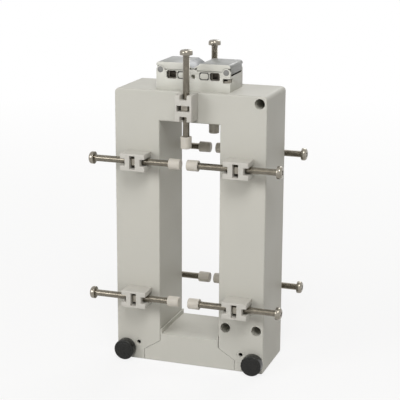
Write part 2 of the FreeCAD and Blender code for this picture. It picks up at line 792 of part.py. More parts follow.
def make_yoke_core():
    core = new_body("yoke_core")
    inner = yoke_side - d.wall - d.core_play
    end = yoke_end - d.wall - d.core_play
    below = -d.seam_gap - d.core_gap
    step = pole_floor() + d.core_play
    shoulder = below - d.core_skin
    outline = both_sides(
        [
            (end, yoke_core_floor),
            (end, step),
            (face_far, step),
            (face_far, seam(face_far, below)),
            (face_near, seam(face_near, below)),
            (face_near, seam(face_near, shoulder)),
            (inner, seam(inner, shoulder)),
            (inner - d.core_skin, yoke_core_top),
        ]
    )
    extrude(core, "Y", -core_half, core_half, outline)
    pad = new_body("yoke_pad")
    extrude(pad, "Y", -core_half, core_half, rectangle(-inner, inner, d.wall, yoke_core_floor))


def make_lugs():
    """Steel plates of the yoke; each has a slot, open at the top, that takes a thumb screw's stud."""
    lugs = new_body("yoke_lugs")
    outer = wall_x - d.lug_end_play
    slot = d.stud_radius + d.lug_slot_play
    inner = block_x + d.lug_side_play
    loops = []
    for way in (1, -1):
        outline = [
            (d.lug_root, d.lug_floor),
            (outer, d.lug_floor),
            (outer, lug_top),
            (knob_x + slot, lug_top),
            (knob_x + slot, d.knob_rise - slot),
            (knob_x - slot, d.knob_rise - slot),
            (knob_x - slot, lug_top),
            (inner, lug_top),
            (inner, d.lug_neck),
            (d.lug_root, d.lug_neck),
        ]
        loops.append([(x * way, size(z)) for x, z in outline])
    extrude(lugs, "Y", lug_front, lug_back, *loops)


# Thumb screws at the lower corners
def make_thumb_screw(side, x):
    quarter = FreeCAD.Rotation(FreeCAD.Vector(0, 0, 1), 90)
    seat = front - d.knob_gap
    start = seat - d.stud_in_knob
    end = collar_end + d.stud_end
    stud = new_body(f"{side}_thumb_stud")
    turn(
        stud,
        [
            (start, 0),
            (start, d.stud_radius),
            (collar_start, d.stud_radius),
            (collar_start, d.collar_radius),
            (collar_end, d.collar_radius),
            (collar_end, d.stud_radius),
            (end - d.screw_point, d.stud_radius),
            (end, d.stud_radius - d.screw_point),
            (end, 0),
        ],
    )
    knob = new_body(f"{side}_thumb_knob")
    face = seat - d.knob_length
    turn(
        knob,
        [
            (face, 0),
            (face + d.knob_dome, d.knob_radius - d.knob_round * 2),
            (face + d.knob_round, d.knob_radius - d.knob_round / 2),
            (face + d.knob_round * 2, d.knob_radius),
            (seat - d.knob_round, d.knob_radius),
            (seat, d.knob_radius - d.knob_round),
            (seat, d.stud_radius),
            (start, d.stud_radius),
            (start, 0),
        ],
    )
    for item in (stud, knob):
        place(item, x=x, z=d.knob_rise, rotation=quarter)


def make_thumb_inserts():
    """Threaded blocks in the lower corners, behind the lugs."""
    inserts = new_body("thumb_inserts")
    back = lug_back + d.lug_side_play
    top = d.wall + d.insert_height
    inner = wall_x - d.insert_width
    blocks = [rectangle(inner * way, wall_x * way, d.wall, top) for way in (1, -1)]
    holes = [Round(x, d.knob_rise, d.stud_radius + d.thread_play) for x in sides(knob_x)]
    extrude(inserts, "Y", back, back + d.insert_depth, *blocks, *holes)


# Clips on the front and rear faces, each with a captive nut for one clamp screw
def make_clip(name, x, z, level, head):
    """Own axes: the screw runs along X and the clip stands off the housing towards -Y."""
    clip = new_body(f"clip_{name}")
    half = d.clip_length / 2
    web = d.clip_web / 2
    slot = d.clip_slot / 2
    across = d.clip_across / 2
    outer = -d.clip_height
    outline = both_sides(
        [(half, -across), (half, -slot), (web, -slot), (web, slot), (half, slot), (half, across)]
    )
    extrude(clip, "Y", outer, 0, outline)

    def outer_edge(edge):
        on_side = close(abs(edge.CenterOfMass.z), across)
        at_end = close(abs(edge.CenterOfMass.x), half)
        return on_side and (lies_at(edge, "y", outer) or (at_end and runs_along(edge, "y")))

    round_off(clip, d.clip_edge, outer_edge)
    nut_half = d.nut_height / 2 + d.nut_play
    corner = nut_corner + d.nut_side_play
    bottom = d.nut_flats / 2 + d.nut_seat - d.screw_off
    carve(clip, "Y", outer - d.tiny, bottom, rectangle(-nut_half, nut_half, -corner, corner))
    bore = Round(-d.screw_off, 0, d.thread_radius + d.web_play)
    carve(clip, "X", -web - d.tiny, web + d.tiny, bore)
    pegs = [Round(0, offset, d.peg_radius) for offset in sides(d.peg_out)]
    extrude(clip, "Y", bottom / 2, d.peg_length, *pegs)
    place(clip, x=x, y=level, z=z, rotation=face_turn(level, head))


def face_turn(level, head):
    """Turns a clip from its own axes to its face and along its screw."""
    about_z = FreeCAD.Rotation(FreeCAD.Vector(0, 0, 1), 180 if float(level) > 0 else 0)
    if head == "up":
        return FreeCAD.Rotation(FreeCAD.Vector(0, 1, 0), -90) * about_z
    return about_z


def off_face(level, distance):
    """A level outside the front or rear face."""
    return level - distance if float(level) < 0 else level + distance


def group(label, links):
    """Like pieces kept together in one sub-part."""
    compound = doc.addObject("Part::Compound", label)
    compound.Label = label
    compound.Links = links
    pieces.append(compound)


def cylinder(name, radius, height):
    item = doc.addObject("Part::Cylinder", name)
    bind(item, "Radius", radius)
    bind(item, "Height", height)
    return item


def make_nuts():
    """Ten hexagon nuts in the clips' pockets, corners across the screw."""
    nuts = []
    for name, x, z, level, head in clip_places():
        hexagon = doc.addObject("Part::Prism", f"nut_blank_{name}")
        hexagon.Polygon = 6
        bind(hexagon, "Circumradius", nut_corner)
        bind(hexagon, "Height", d.nut_height)
        bore = cylinder(f"nut_bore_{name}", d.thread_radius + d.thread_play, d.nut_height)
        y = off_face(level, d.screw_off)
        half = d.nut_height / 2
        if head == "up":
            base, spin = (x, y, z - half), None
        else:
            base, spin = (x - half, y, z), FreeCAD.Rotation(FreeCAD.Vector(0, 1, 0), 90)
        for item in (hexagon, bore):
            place(item, *base, rotation=spin)
        nut = doc.addObject("Part::Cut", f"nut_{name}")
        nut.Base, nut.Tool = hexagon, bore
        nuts.append(nut)
    group("clamp_nuts", nuts)


# Clamp screws with their tip caps
def screw_spot(name, z, level, head):
    """Where the underside of a screw's head sits, and how the screw is turned."""
    y = off_face(level, d.screw_off)
    out = getattr(d, f"tip_{name}") + d.screw_length + d.cap_end
    if head == "up":
        return (size(0), y, row_high + out), FreeCAD.Rotation(FreeCAD.Vector(0, 1, 0), -90)
    if head == "right":
        return (out, y, z), FreeCAD.Rotation()
    return (-out, y, z), FreeCAD.Rotation(FreeCAD.Vector(0, 0, 1), 180)


def make_clamp_screw(name, z, level, head):
    """Own axes: the underside of the head is at X = 0 and the shank runs towards -X."""
    spot, spin = screw_spot(name, z, level, head)
    end = -d.screw_length
    rim = d.screw_head_height
    screw = new_body(f"clamp_screw_{name}")
    turn(
        screw,
        [
            (end, 0),
            (end, d.thread_radius - d.screw_point),
            (end + d.screw_point, d.thread_radius),
            (0, d.thread_radius),
            (0, d.head_radius),
            (rim, d.head_radius),
            (rim, 0),
        ],
    )
    round_off(
        screw,
        d.head_round,
        lambda edge: lies_at(edge, "x", rim) and close(edge.BoundBox.YLength, d.head_radius * 2),
    )
    arm, slot = d.recess_half, d.recess_width / 2
    carve(screw, "X", rim - d.recess_depth, rim + d.tiny, rectangle(-arm, arm, -slot, slot))
    carve(screw, "X", rim - d.recess_depth, rim + d.tiny, rectangle(-slot, slot, -arm, arm))
    place(screw, *spot, rotation=spin)
    cap = new_body(f"tip_cap_{name}")
    tip = end - d.cap_end
    bore = d.thread_radius + d.thread_play
    turn(
        cap,
        [
            (tip, 0),
            (tip, d.cap_radius - d.cap_round),
            (tip + d.cap_round, d.cap_radius),
            (tip + d.cap_length, d.cap_radius),
            (tip + d.cap_length, bore),
            (end, bore),
            (end, 0),
        ],
    )
    place(cap, *spot, rotation=spin)


# Case screws that hold tub and rear cover together
def make_case_screws(face, way, seat, length, head_height):
    """Three screws; way is 1 for the right leg, where they go in from the front."""
    tilt = FreeCAD.Rotation(FreeCAD.Vector(1, 0, 0), -90 * way)
    screws = []
    for number, (x, z) in enumerate(case_screws, start=1):
        shank = cylinder(f"{face}_case_shank_{number}", d.case_screw_radius, length)
        place(shank, x * way, seat, z, rotation=tilt)
        head = cylinder(f"{face}_case_head_{number}", d.case_head_radius, head_height)
        place(head, x * way, seat - head_height * way, z, rotation=tilt)
        screw = doc.addObject("Part::Fuse", f"{face}_case_screw_{number}")
        screw.Base, screw.Tool = shank, head
        screws.append(screw)
    group(f"{face}_case_screws", screws)


# Terminal block on the top face, with two wells under smoked lids
def make_terminal_block():
    block = new_body("terminal_block")
    half = d.block_half
    extrude(block, "Z", d.height, wall_top, rectangle(-half, half, block_front, block_rear))
    rib = d.flap_in - d.flap_play
    rib_top = block_top - d.rib_down
    extrude(block, "Z", wall_top - d.tiny, rib_top, rectangle(-rib, rib, block_front, block_rear))
    eyes = [Round(x, pivot_z, d.eye_radius) for x in sides(pivot_x)]
    for start, end in end_walls:
        extrude(block, "Y", start, end, *eyes)
    for way in (1, -1):
        well = rectangle(d.partition / 2 * way, well_side * way, well_floor, block_top)
        carve(block, "Y", well_front, well_rear, well)
        outside = (d.block_half + d.tiny) * way
        side = rectangle((well_side - d.tiny) * way, outside, side_top, block_top)
        carve(block, "Y", well_front, well_rear, side)
        carve(block, "Y", well_front, well_rear, Round(pivot_x * way, pivot_z, d.pivot_relief))
    pins = [Round(x, pivot_z, d.pivot_radius + d.pivot_play) for x in sides(pivot_x)]
    for start, end in end_walls:
        carve(block, "Y", start - d.tiny, end + d.tiny, *pins)
    ledge_end = pivot_x - d.eye_radius - d.flap_play
    ledge_low = wall_top - d.ledge_height
    over = wall_top + d.tiny
    ledges = [rectangle(d.flap_in * way, ledge_end * way, ledge_low, over) for way in (1, -1)]
    carve(block, "Y", block_front - d.tiny, block_front + d.ledge_depth, *ledges)
    opens = [port(x, 0) for x in sides(port_outer)]
    carve(block, "Y", block_front - d.tiny, well_front + d.tiny, *opens)
    outlines = (d.port_line, d.port_line + d.port_groove)
    grooves = [port(x, shrink) for x in sides(port_inner) for shrink in outlines]
    carve(block, "Y", block_front - d.tiny, block_front + d.port_groove_depth, *grooves)
    seal = Round(0, d.height + d.seal_block_rise, d.seal_radius)
    carve(block, "Y", block_front - d.tiny, block_front + d.seal_block_depth, seal)
    low = d.height + d.notch_rise
    notch = rectangle(d.block_half - d.notch_width, d.block_half + d.tiny, low, low + d.notch_height)
    carve(block, "Y", block_front - d.tiny, block_front + d.notch_depth, notch)
    rest_side = d.block_half - d.link_in
    rest = rectangle(rest_side - d.link_rest, rest_side, well_floor - d.block_floor / 2, low)
    extrude(block, "Y", clamp_front, clamp_front + d.link_depth, rest)
    leads = [Round(x, lead_y, d.wire_hole) for x in sides(port_outer)]
    carve(block, "Z", d.height - d.tiny, well_floor + d.tiny, *leads)


def port(x, shrink):
    """Outline of a wire port in the block's front wall, its corners cut."""
    half = clamp_width / 2 + d.port_over - shrink
    tall = d.port_height / 2 - shrink
    upright = [(half, tall - d.port_corner), (half - d.port_corner, tall)]
    right = [(across, -rise) for across, rise in reversed(upright)] + upright
    left = [(-across, rise) for across, rise in reversed(right)]
    return [(x + across, ports + rise) for across, rise in right + left]


def make_shorting_link():
    """End of the shorting link with its screw head, seen in the block's corner opening."""
    link = new_body("shorting_link")
    end = d.block_half - d.link_in
    low = d.height + d.notch_rise
    top = low + d.link_thick
    strip = rectangle(end - d.link_length, end, low, top)
    extrude(link, "Y", clamp_front, clamp_front + d.link_depth, strip)
    spot = Round(end - d.link_head_in, clamp_front + d.link_depth / 2, d.link_head)
    extrude(link, "Z", top - d.link_thick / 2, top + d.link_head_height, spot)


def make_terminals():
    """Bars, clamps and screws in the two wells."""
    inner = d.partition / 2 + d.bar_play
    bars = new_body("terminal_bars")
    loops = [rectangle(inner * way, clamp_far * way, clamp_front, bar_rear) for way in (1, -1)]
    holes = [Round(x, lead_y, d.wire_radius + d.thread_play) for x in sides(port_outer)]
    seat = well_floor + d.bar_thick
    extrude(bars, "Z", well_floor, seat, *loops, *holes)
    clamps = new_body("terminal_clamps")
    top = seat + d.clamp_height
    half = clamp_width / 2
    mouth = half - d.clamp_wall
    centres = [*sides(port_inner), *sides(port_outer)]
    blocks = [rectangle(x - half, x + half, seat, top) for x in centres]
    extrude(clamps, "Y", clamp_front, clamp_front + d.clamp_depth, *blocks)
    tall = d.clamp_mouth_height / 2
    mouths = [rectangle(x - mouth, x + mouth, ports - tall, ports + tall) for x in centres]
    mouth_start = clamp_front - d.tiny
    carve(clamps, "Y", mouth_start, clamp_front + d.clamp_mouth_depth, *mouths)
    middle = clamp_front + d.clamp_depth / 2
    bores = [Round(x, middle, d.terminal_screw_radius + d.thread_play) for x in centres]
    carve(clamps, "Z", ports, top + d.tiny, *bores)
    screws = []
    for number, x in enumerate(centres, start=1):
        length = d.terminal_screw_length
        shank = cylinder(f"terminal_shank_{number}", d.terminal_screw_radius, length)
        place(shank, x, middle, top - length)
        head = cylinder(f"terminal_head_{number}", d.terminal_head_radius, d.terminal_head)
        place(head, x, middle, top)
        screw = doc.addObject("Part::Fuse", f"terminal_screw_{number}")
        screw.Base, screw.Tool = shank, head
        screws.append(screw)
    group("terminal_screws", screws)


# Lids: a cover that slopes down at the middle, with a skirt and end flaps, hung on two pivot pins
def make_lid(name, way):
    lid = new_body(f"{name}_terminal_lid")
    side = d.block_half
    inner = d.lid_middle
    crest = inner + d.lid_slope
    valley = block_top - d.lid_valley
    under = block_top - d.lid_wall
    middle = block_top - d.lid_wall / 2
    rim = pivot_z + d.flap_over

    def across(points):
        return [(size(x) * way, size(z)) for x, z in points]

    plate = across(
        [
            (inner, valley - d.lid_edge),
            (crest, under),
            (side - d.skirt, under),
            (side - d.skirt, rim),
            (side, rim),
            (side, block_top),
            (crest, block_top),
            (inner, valley),
        ]
    )
    extrude(lid, "Y", block_front, block_rear, plate)
    round_off(
        lid,
        d.lid_round,
        lambda edge: lies_at(edge, "z", block_top) and lies_at(edge, "x", side * way),
    )
    skirt_front = well_front + d.skirt_play
    skirt_rear = well_rear - d.skirt_play
    inside = side - d.skirt
    skirt = across(rectangle(inside, side, block_top - d.skirt_drop, rim + d.skirt_play))
    extrude(lid, "Y", skirt_front, skirt_rear, skirt)
    flap_low = block_top - d.flap_drop
    at_flap = middle - (crest - d.flap_in) * (d.lid_valley / d.lid_slope)
    flap = across(
        [
            (d.flap_in, flap_low),
            (pivot_x, flap_low),
            (pivot_x, rim),
            (side - d.skirt / 2, rim),
            (side - d.skirt / 2, middle),
            (crest, middle),
            (d.flap_in, at_flap),
        ]
    )
    room = Round(pivot_x * way, pivot_z, d.eye_radius + d.flap_play)
    for start, end in end_walls:
        extrude(lid, "Y", start, end, flap)
        carve(lid, "Y", start - d.skirt_play / 2, end + d.skirt_play / 2, room)
    ear = rectangle(pivot_x * way, (side - d.skirt / 4) * way, pivot_z - d.ear, pivot_z + d.ear)
    pin = Round(pivot_x * way, pivot_z, d.pivot_radius)
    extrude(lid, "Y", skirt_front, skirt_front + d.ear, ear)
    extrude(lid, "Y", block_front, skirt_front + d.ear, pin)
    extrude(lid, "Y", skirt_rear - d.ear, skirt_rear, ear)
    extrude(lid, "Y", skirt_rear - d.ear, block_rear, pin)


# Leads from the coils to the terminals, and the lead that joins the two coils
def pipe(body, corners):
    """A round wire along upright and level runs in the body's XZ plane, with rounded bends."""
    sketch = body.newObject("Sketcher::SketchObject", f"{body.Label}_route")
    plane = [f for f in body.Origin.OriginFeatures if f.Role == planes["Y"]][0]
    sketch.AttachmentSupport = [(plane, "")]
    sketch.MapMode = "FlatFace"
    start = corners[0]
    last = None
    for before, corner, after in zip(corners, corners[1:], corners[2:]):
        into, out = heading(before, corner), heading(corner, after)
        enter = [c - d.wire_bend * step for c, step in zip(corner, into)]
        leave = [c + d.wire_bend * step for c, step in zip(corner, out)]
        line = run(sketch, start, enter, last)
        last = bend(sketch, enter, leave, into, out, line)
        start = leave
    run(sketch, start, corners[-1], last)
    section = sketch_on(body, "Z", corners[0][1], [Round(corners[0][0], 0, d.wire_radius)])
    feature = body.newObject("PartDesign::AdditivePipe", f"{body.Label}_pipe")
    feature.Profile = section
    feature.Spine = (sketch, [f"Edge{k + 1}" for k in range(sketch.GeometryCount)])


def heading(a, b):
    """Unit step from one corner to the next, along one of the two sketch directions."""
    steps = [float(q) - float(p) for p, q in zip(a, b)]
    return [0 if close(step, 0) else math.copysign(1, step) for step in steps]


def run(sketch, start, end, last):
    """A straight run that starts where the last bend ends."""
    points = [FreeCAD.Vector(float(x), float(z), 0) for x, z in (start, end)]
    index = sketch.addGeometry(Part.LineSegment(*points), False)
    for corner, (x, z) in ((1, start), (2, end)):
        tie(sketch, "DistanceX", (index, corner), x)
        tie(sketch, "DistanceY", (index, corner), z)
    if last:
        sketch.addConstraint(Sketcher.Constraint("Coincident", *last, index, 1))
    return index


def bend(sketch, enter, leave, into, out, line):
    """A quarter bend after a run; returns the arc and the end at which it leaves."""
    centre = [e + d.wire_bend * step for e, step in zip(enter, out)]
    angles = [
        math.atan2(float(point[1]) - float(centre[1]), float(point[0]) - float(centre[0]))
        for point in (enter, leave)
    ]
    turns_left = into[0] * out[1] - into[1] * out[0] > 0
    if not turns_left:
        angles.reverse()
    middle = FreeCAD.Vector(float(centre[0]), float(centre[1]), 0)
    circle = Part.Circle(middle, FreeCAD.Vector(0, 0, 1), float(d.wire_bend))
    arc = sketch.addGeometry(Part.ArcOfCircle(circle, *angles), False)
    first, second = (1, 2) if turns_left else (2, 1)
    sketch.addConstraint(Sketcher.Constraint("Coincident", line, 2, arc, first))
    index = sketch.addConstraint(Sketcher.Constraint("Radius", arc, float(d.wire_bend)))
    bind(sketch, f"Constraints[{index}]", d.wire_bend)
    return arc, second


def make_leads():
    roof_run = d.height - d.wall - d.wire_top
    wire_y = core_half + d.wire_back
    wires = []
    for side, way in (("right", 1), ("left", -1)):
        from_x = (window_half + d.wire_coil - port_outer) * way
        from_y = wire_y - lead_y
        length = diagonal(from_x, from_y)
        wire = doc.addObject("PartDesign::Body", f"{side}_lead")
        end = well_floor + d.bar_thick
        pipe(wire, [(length, flange_high), (length, roof_run), (size(0), roof_run), (size(0), end)])
        turned = FreeCAD.Rotation(FreeCAD.Vector(0, 0, 1), float(direction(from_x, from_y)))
        place(wire, port_outer * way, lead_y, 0, rotation=turned)
        bind(wire, "Placement.Rotation.Angle", direction(from_x, from_y))
        wires.append(wire)
    join_x = window_half + d.wire_join
    join_z = flange_high + d.link_rise
    wire = doc.addObject("PartDesign::Body", "joining_lead")
    pipe(wire, [(-join_x, flange_high), (-join_x, join_z), (join_x, join_z), (join_x, flange_high)])
    place(wire, y=wire_y)
    group("leads", [*wires, wire])


def make_all():
    make_tub()
    make_rear_cover()
    make_core()
    make_core_pads()
    leg_middle = (core_inner + core_outer) / 2
    for side, way in (("right", 1), ("left", -1)):
        make_coil(side, leg_middle * way)
        make_thumb_screw(side, knob_x * way)
        make_lid(side, way)
    make_yoke()
    make_yoke_core()
    make_lugs()
    make_thumb_inserts()
    for name, x, z, level, head in clip_places():
        make_clip(name, x, z, level, head)
        make_clamp_screw(name, z, level, head)
    make_nuts()
    deep_seat = front + d.well_depth
    make_case_screws("front", 1, deep_seat, d.case_screw_length, d.case_head_height)
    make_case_screws("rear", -1, rear - d.rear_seat, d.rear_screw_length, d.rear_head_height)
    make_terminal_block()
    make_shorting_link()
    make_terminals()
    make_leads()


def check_all():
    """Stops on a failed object, an empty or invalid sub-part, or a cut or pad that did nothing."""
    for item in doc.Objects:
        failed = {"Invalid", "Error"} & set(item.State)
        if failed:
            raise RuntimeError(f"{item.Label}: {', '.join(failed)}")
        if item.TypeId in ("PartDesign::Pad", "PartDesign::Pocket") and item.BaseFeature:
            change = item.Shape.Volume - item.BaseFeature.Shape.Volume
            grows = item.TypeId == "PartDesign::Pad"
            if abs(change) < 1e-3 or (change > 0) != grows:
                raise RuntimeError(f"{item.Label}: changed the solid by {change} mm3")
    for piece in pieces:
        if piece.Shape.isNull() or not piece.Shape.isValid() or not piece.Shape.Solids:
            raise RuntimeError(f"{piece.Label}: no valid solid")


make_all()
doc.recompute()
check_all()
os.makedirs("parts", exist_ok=True)
for piece in pieces:
    piece.Shape.exportStep(f"parts/{piece.Label}.step")
    print(piece.Label, len(piece.Shape.Solids), round(piece.Shape.Volume / 1000, 2), "cm3")
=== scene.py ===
import math

import bmesh
import bpy
from mathutils import Matrix, Vector


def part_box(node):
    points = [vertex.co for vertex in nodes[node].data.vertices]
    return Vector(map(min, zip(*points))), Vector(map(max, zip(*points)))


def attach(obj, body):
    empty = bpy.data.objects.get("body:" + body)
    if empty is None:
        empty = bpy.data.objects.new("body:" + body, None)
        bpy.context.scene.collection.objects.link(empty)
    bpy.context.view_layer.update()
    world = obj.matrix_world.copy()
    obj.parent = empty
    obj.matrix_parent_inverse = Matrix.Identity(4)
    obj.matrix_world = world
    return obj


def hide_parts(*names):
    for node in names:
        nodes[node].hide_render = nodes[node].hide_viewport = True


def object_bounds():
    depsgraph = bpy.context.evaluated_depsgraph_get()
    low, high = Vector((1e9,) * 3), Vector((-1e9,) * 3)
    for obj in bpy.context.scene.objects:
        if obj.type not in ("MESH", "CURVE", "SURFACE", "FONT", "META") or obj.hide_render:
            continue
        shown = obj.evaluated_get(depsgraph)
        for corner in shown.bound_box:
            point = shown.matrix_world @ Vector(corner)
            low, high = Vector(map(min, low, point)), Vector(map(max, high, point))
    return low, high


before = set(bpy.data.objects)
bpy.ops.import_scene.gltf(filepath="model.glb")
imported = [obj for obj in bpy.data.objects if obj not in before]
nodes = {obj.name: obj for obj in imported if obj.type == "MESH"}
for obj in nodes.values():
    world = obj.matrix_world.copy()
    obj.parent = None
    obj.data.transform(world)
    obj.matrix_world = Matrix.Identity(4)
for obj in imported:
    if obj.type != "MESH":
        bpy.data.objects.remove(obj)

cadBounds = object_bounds()
mm = 0.001
print("frame loaded:", len(nodes), "nodes")

# sizes that several pieces share, in millimetres
shared = {
    "threadRadius": 3.0,
    "clipHeight": 17.0,  # clip off the housing
    "screwOff": 8.5,  # screw axis off the housing
    "overcut": 1.0,  # how far a cutting tool goes past the face that it opens
}

# how meshes are joined, shaded and rounded, lengths in metres and angles in degrees
meshing = {
    "join": 0.000002,
    "joinCad": 0.00001,
    "flat": 1,  # CAD faces that meet at less become one
    "smooth": 35,  # edges up to this angle are shaded smooth
    "smoothThread": 40,
    "smoothRounded": 50,
    "smoothFine": 30,
    "roundFrom": 40,  # sharper edges get rounded where a piece's edges do
}

faces = {"front": -1, "rear": 1}  # which way along Y a face looks
clampPlaces = [
    f"{face}_{spot}"
    for face in faces
    for spot in ("upper_left", "upper_right", "lower_left", "lower_right", "top")
]


def addObject(name, mesh, materials):
    piece = bpy.data.objects.new(name, mesh)
    bpy.context.scene.collection.objects.link(piece)
    for material in materials:
        mesh.materials.append(material)
    return piece


def finishMesh(name, bm, smoothAngle=meshing["smooth"]):
    # outward faces and smooth shading up to the given angle
    bmesh.ops.remove_doubles(bm, verts=bm.verts, dist=meshing["join"])
    bmesh.ops.recalc_face_normals(bm, faces=bm.faces)
    mesh = bpy.data.meshes.new(name)
    bm.to_mesh(mesh)
    bm.free()
    shadeByAngle(mesh, smoothAngle)
    return mesh


def shadeByAngle(mesh, smoothAngle):
    mesh.polygons.foreach_set("use_smooth", [True] * len(mesh.polygons))
    mesh.set_sharp_from_angle(angle=math.radians(smoothAngle))


def settle(piece, smoothAngle=meshing["smooth"]):
    # applies the modifiers, so that the piece is plain mesh
    depsgraph = bpy.context.evaluated_depsgraph_get()
    mesh = bpy.data.meshes.new_from_object(piece.evaluated_get(depsgraph))
    mesh.name = piece.name
    piece.modifiers.clear()
    piece.data = mesh
    shadeByAngle(mesh, smoothAngle)


def roundEdges(piece, width, steps):
    # rounds the sharp edges, width in millimetres
    edge = piece.modifiers.new("edges", "BEVEL")
    edge.width = width * mm
    edge.segments = steps
    edge.limit_method = "ANGLE"
    edge.angle_limit = math.radians(meshing["roundFrom"])


def lathe(bm, outline, steps):
    # turns (radius, height) points in millimetres about Z; both ends lie on the axis or meet
    rings = []
    for radius, height in outline:
        if radius == 0:
            rings.append([bm.verts.new((0, 0, height * mm))])
            continue
        ring = []
        for k in range(steps):
            angle = 2 * math.pi * k / steps
            ring.append(bm.verts.new((
                radius * mm * math.cos(angle), radius * mm * math.sin(angle), height * mm
            )))
        rings.append(ring)
    for lower, upper in zip(rings, rings[1:]):
        joinRings(bm, lower, upper)


def joinRings(bm, lower, upper):
    steps = max(len(lower), len(upper))
    for k in range(steps):
        after = (k + 1) % steps
        if len(lower) == 1:
            bm.faces.new((lower[0], upper[k], upper[after]))
        elif len(upper) == 1:
            bm.faces.new((lower[k], lower[after], upper[0]))
        else:
            bm.faces.new((lower[k], lower[after], upper[after], upper[k]))


def arcPoints(centreRadius, centreHeight, size, start, end, steps):
    # points of a round corner of a lathe outline, angles in degrees
    points = []
    for k in range(steps + 1):
        angle = math.radians(start + (end - start) * k / steps)
        points.append((
            centreRadius + size * math.cos(angle), centreHeight + size * math.sin(angle)
        ))
    return points


def rod(radius, low, high):
    # lathe outline of a cylinder
    return [(0.0, low), (radius, low), (radius, high), (0.0, high)]


def rectangle(halfX, halfY):
    return [(-halfX, -halfY), (halfX, -halfY), (halfX, halfY), (-halfX, halfY)]


def prism(bm, corners, low, high):
    # an upright prism on (x, y) corners in millimetres
    bottom = [bm.verts.new((x * mm, y * mm, low * mm)) for x, y in corners]
    top = [bm.verts.new((x * mm, y * mm, high * mm)) for x, y in corners]
    bm.faces.new(list(reversed(bottom)))
    bm.faces.new(top)
    for k in range(len(corners)):
        after = (k + 1) % len(corners)
        bm.faces.new((bottom[k], bottom[after], top[after], top[k]))


def cutWith(piece, bm):
    # takes the solid in bm out of the piece
    mesh = bpy.data.meshes.new("cutter")
    bmesh.ops.recalc_face_normals(bm, faces=bm.faces)
    bm.to_mesh(mesh)
    bm.free()
    cutter = addObject("cutter", mesh, [])
    cutter.matrix_world = piece.matrix_world
    cut = piece.modifiers.new("cut", "BOOLEAN")
    cut.operation = "DIFFERENCE"
    cut.solver = "EXACT"
    cut.object = cutter
    settle(piece)
    bpy.data.objects.remove(cutter)


def placed(x, y, z, turn=None):
    return Matrix.Translation((x, y, z)) @ (turn or Matrix.Identity(4))


def joinMeshes(name, parts):
    # parts are (mesh, matrix) pairs
    bm = bmesh.new()
    for mesh, matrix in parts:
        part = mesh.copy()
        part.transform(matrix)
        bm.from_mesh(part)
        bpy.data.meshes.remove(part)
    mesh = bpy.data.meshes.new(name)
    bm.to_mesh(mesh)
    bm.free()
    return mesh


def roundedCopy(node, name, look, body, material):
    # the CAD piece again with its sharp edges rounded
    bm = bmesh.new()
    bm.from_mesh(nodes[node].data)
    bmesh.ops.remove_doubles(bm, verts=bm.verts, dist=meshing["joinCad"])
    bmesh.ops.dissolve_limit(
        bm,
        angle_limit=math.radians(meshing["flat"]),
        verts=bm.verts,
        edges=bm.edges,
        delimit={"NORMAL"},
    )
    mesh = bpy.data.meshes.new(name)
    bm.to_mesh(mesh)
    bm.free()
    piece = addObject(name, mesh, [material])
    roundEdges(piece, look["edge"], look["edgeSteps"])
    settle(piece, meshing["smoothRounded"])
    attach(piece, body)
    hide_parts(node)
    return piece


# Materials

# what the materials share; a span is the stretch of a noise that covers the whole effect
surface = {
    "cloudSpan": (0.35, 0.65),
    "speckSpan": (0.62, 0.74),
    "glossSpan": (0.3, 0.7),
    "stainSpan": (0.4, 0.7),
    "ior": 1.45,
    "glowReach": (0.002, 0.0018, 0.0014),  # metres that light goes into plastic
    "lineHeight": 0.01,  # millimetres
}


def newMaterial(name):
    material = bpy.data.materials.new(name)
    material.use_nodes = True
    tree = material.node_tree
    return material, tree, tree.nodes["Principled BSDF"]


def addNoise(tree, scale, detail, stretch=(1, 1, 1)):
    place = tree.nodes.new("ShaderNodeTexCoord")
    spread = tree.nodes.new("ShaderNodeMapping")
    spread.inputs["Scale"].default_value = stretch
    noise = tree.nodes.new("ShaderNodeTexNoise")
    noise.inputs["Scale"].default_value = scale
    noise.inputs["Detail"].default_value = detail
    tree.links.new(place.outputs["Object"], spread.inputs["Vector"])
    tree.links.new(spread.outputs["Vector"], noise.inputs["Vector"])
    return noise.outputs["Fac"]


def mapRange(tree, value, old, new):
    node = tree.nodes.new("ShaderNodeMapRange")
    for name, number in zip(("From Min", "From Max", "To Min", "To Max"), (*old, *new)):
        node.inputs[name].default_value = number
    tree.links.new(value, node.inputs["Value"])
    return node.outputs["Result"]


def mixColours(tree, factor, first, second):
    mix = tree.nodes.new("ShaderNodeMix")
    mix.data_type = "RGBA"
    for socket, colour in ((mix.inputs["A"], first), (mix.inputs["B"], second)):
        if isinstance(colour, tuple):
            socket.default_value = (*colour, 1)
        else:
            tree.links.new(colour, socket)
    tree.links.new(factor, mix.inputs["Factor"])
    return mix.outputs["Result"]


def addBump(tree, shader, height, strength, distance):
    bump = tree.nodes.new("ShaderNodeBump")
    bump.inputs["Strength"].default_value = strength
    bump.inputs["Distance"].default_value = distance * mm
    tree.links.new(height, bump.inputs["Height"])
    tree.links.new(bump.outputs["Normal"], shader.inputs["Normal"])


def addGloss(tree, shader, noise, roughness):
    gloss = mapRange(tree, noise, surface["glossSpan"], roughness)
    tree.links.new(gloss, shader.inputs["Roughness"])


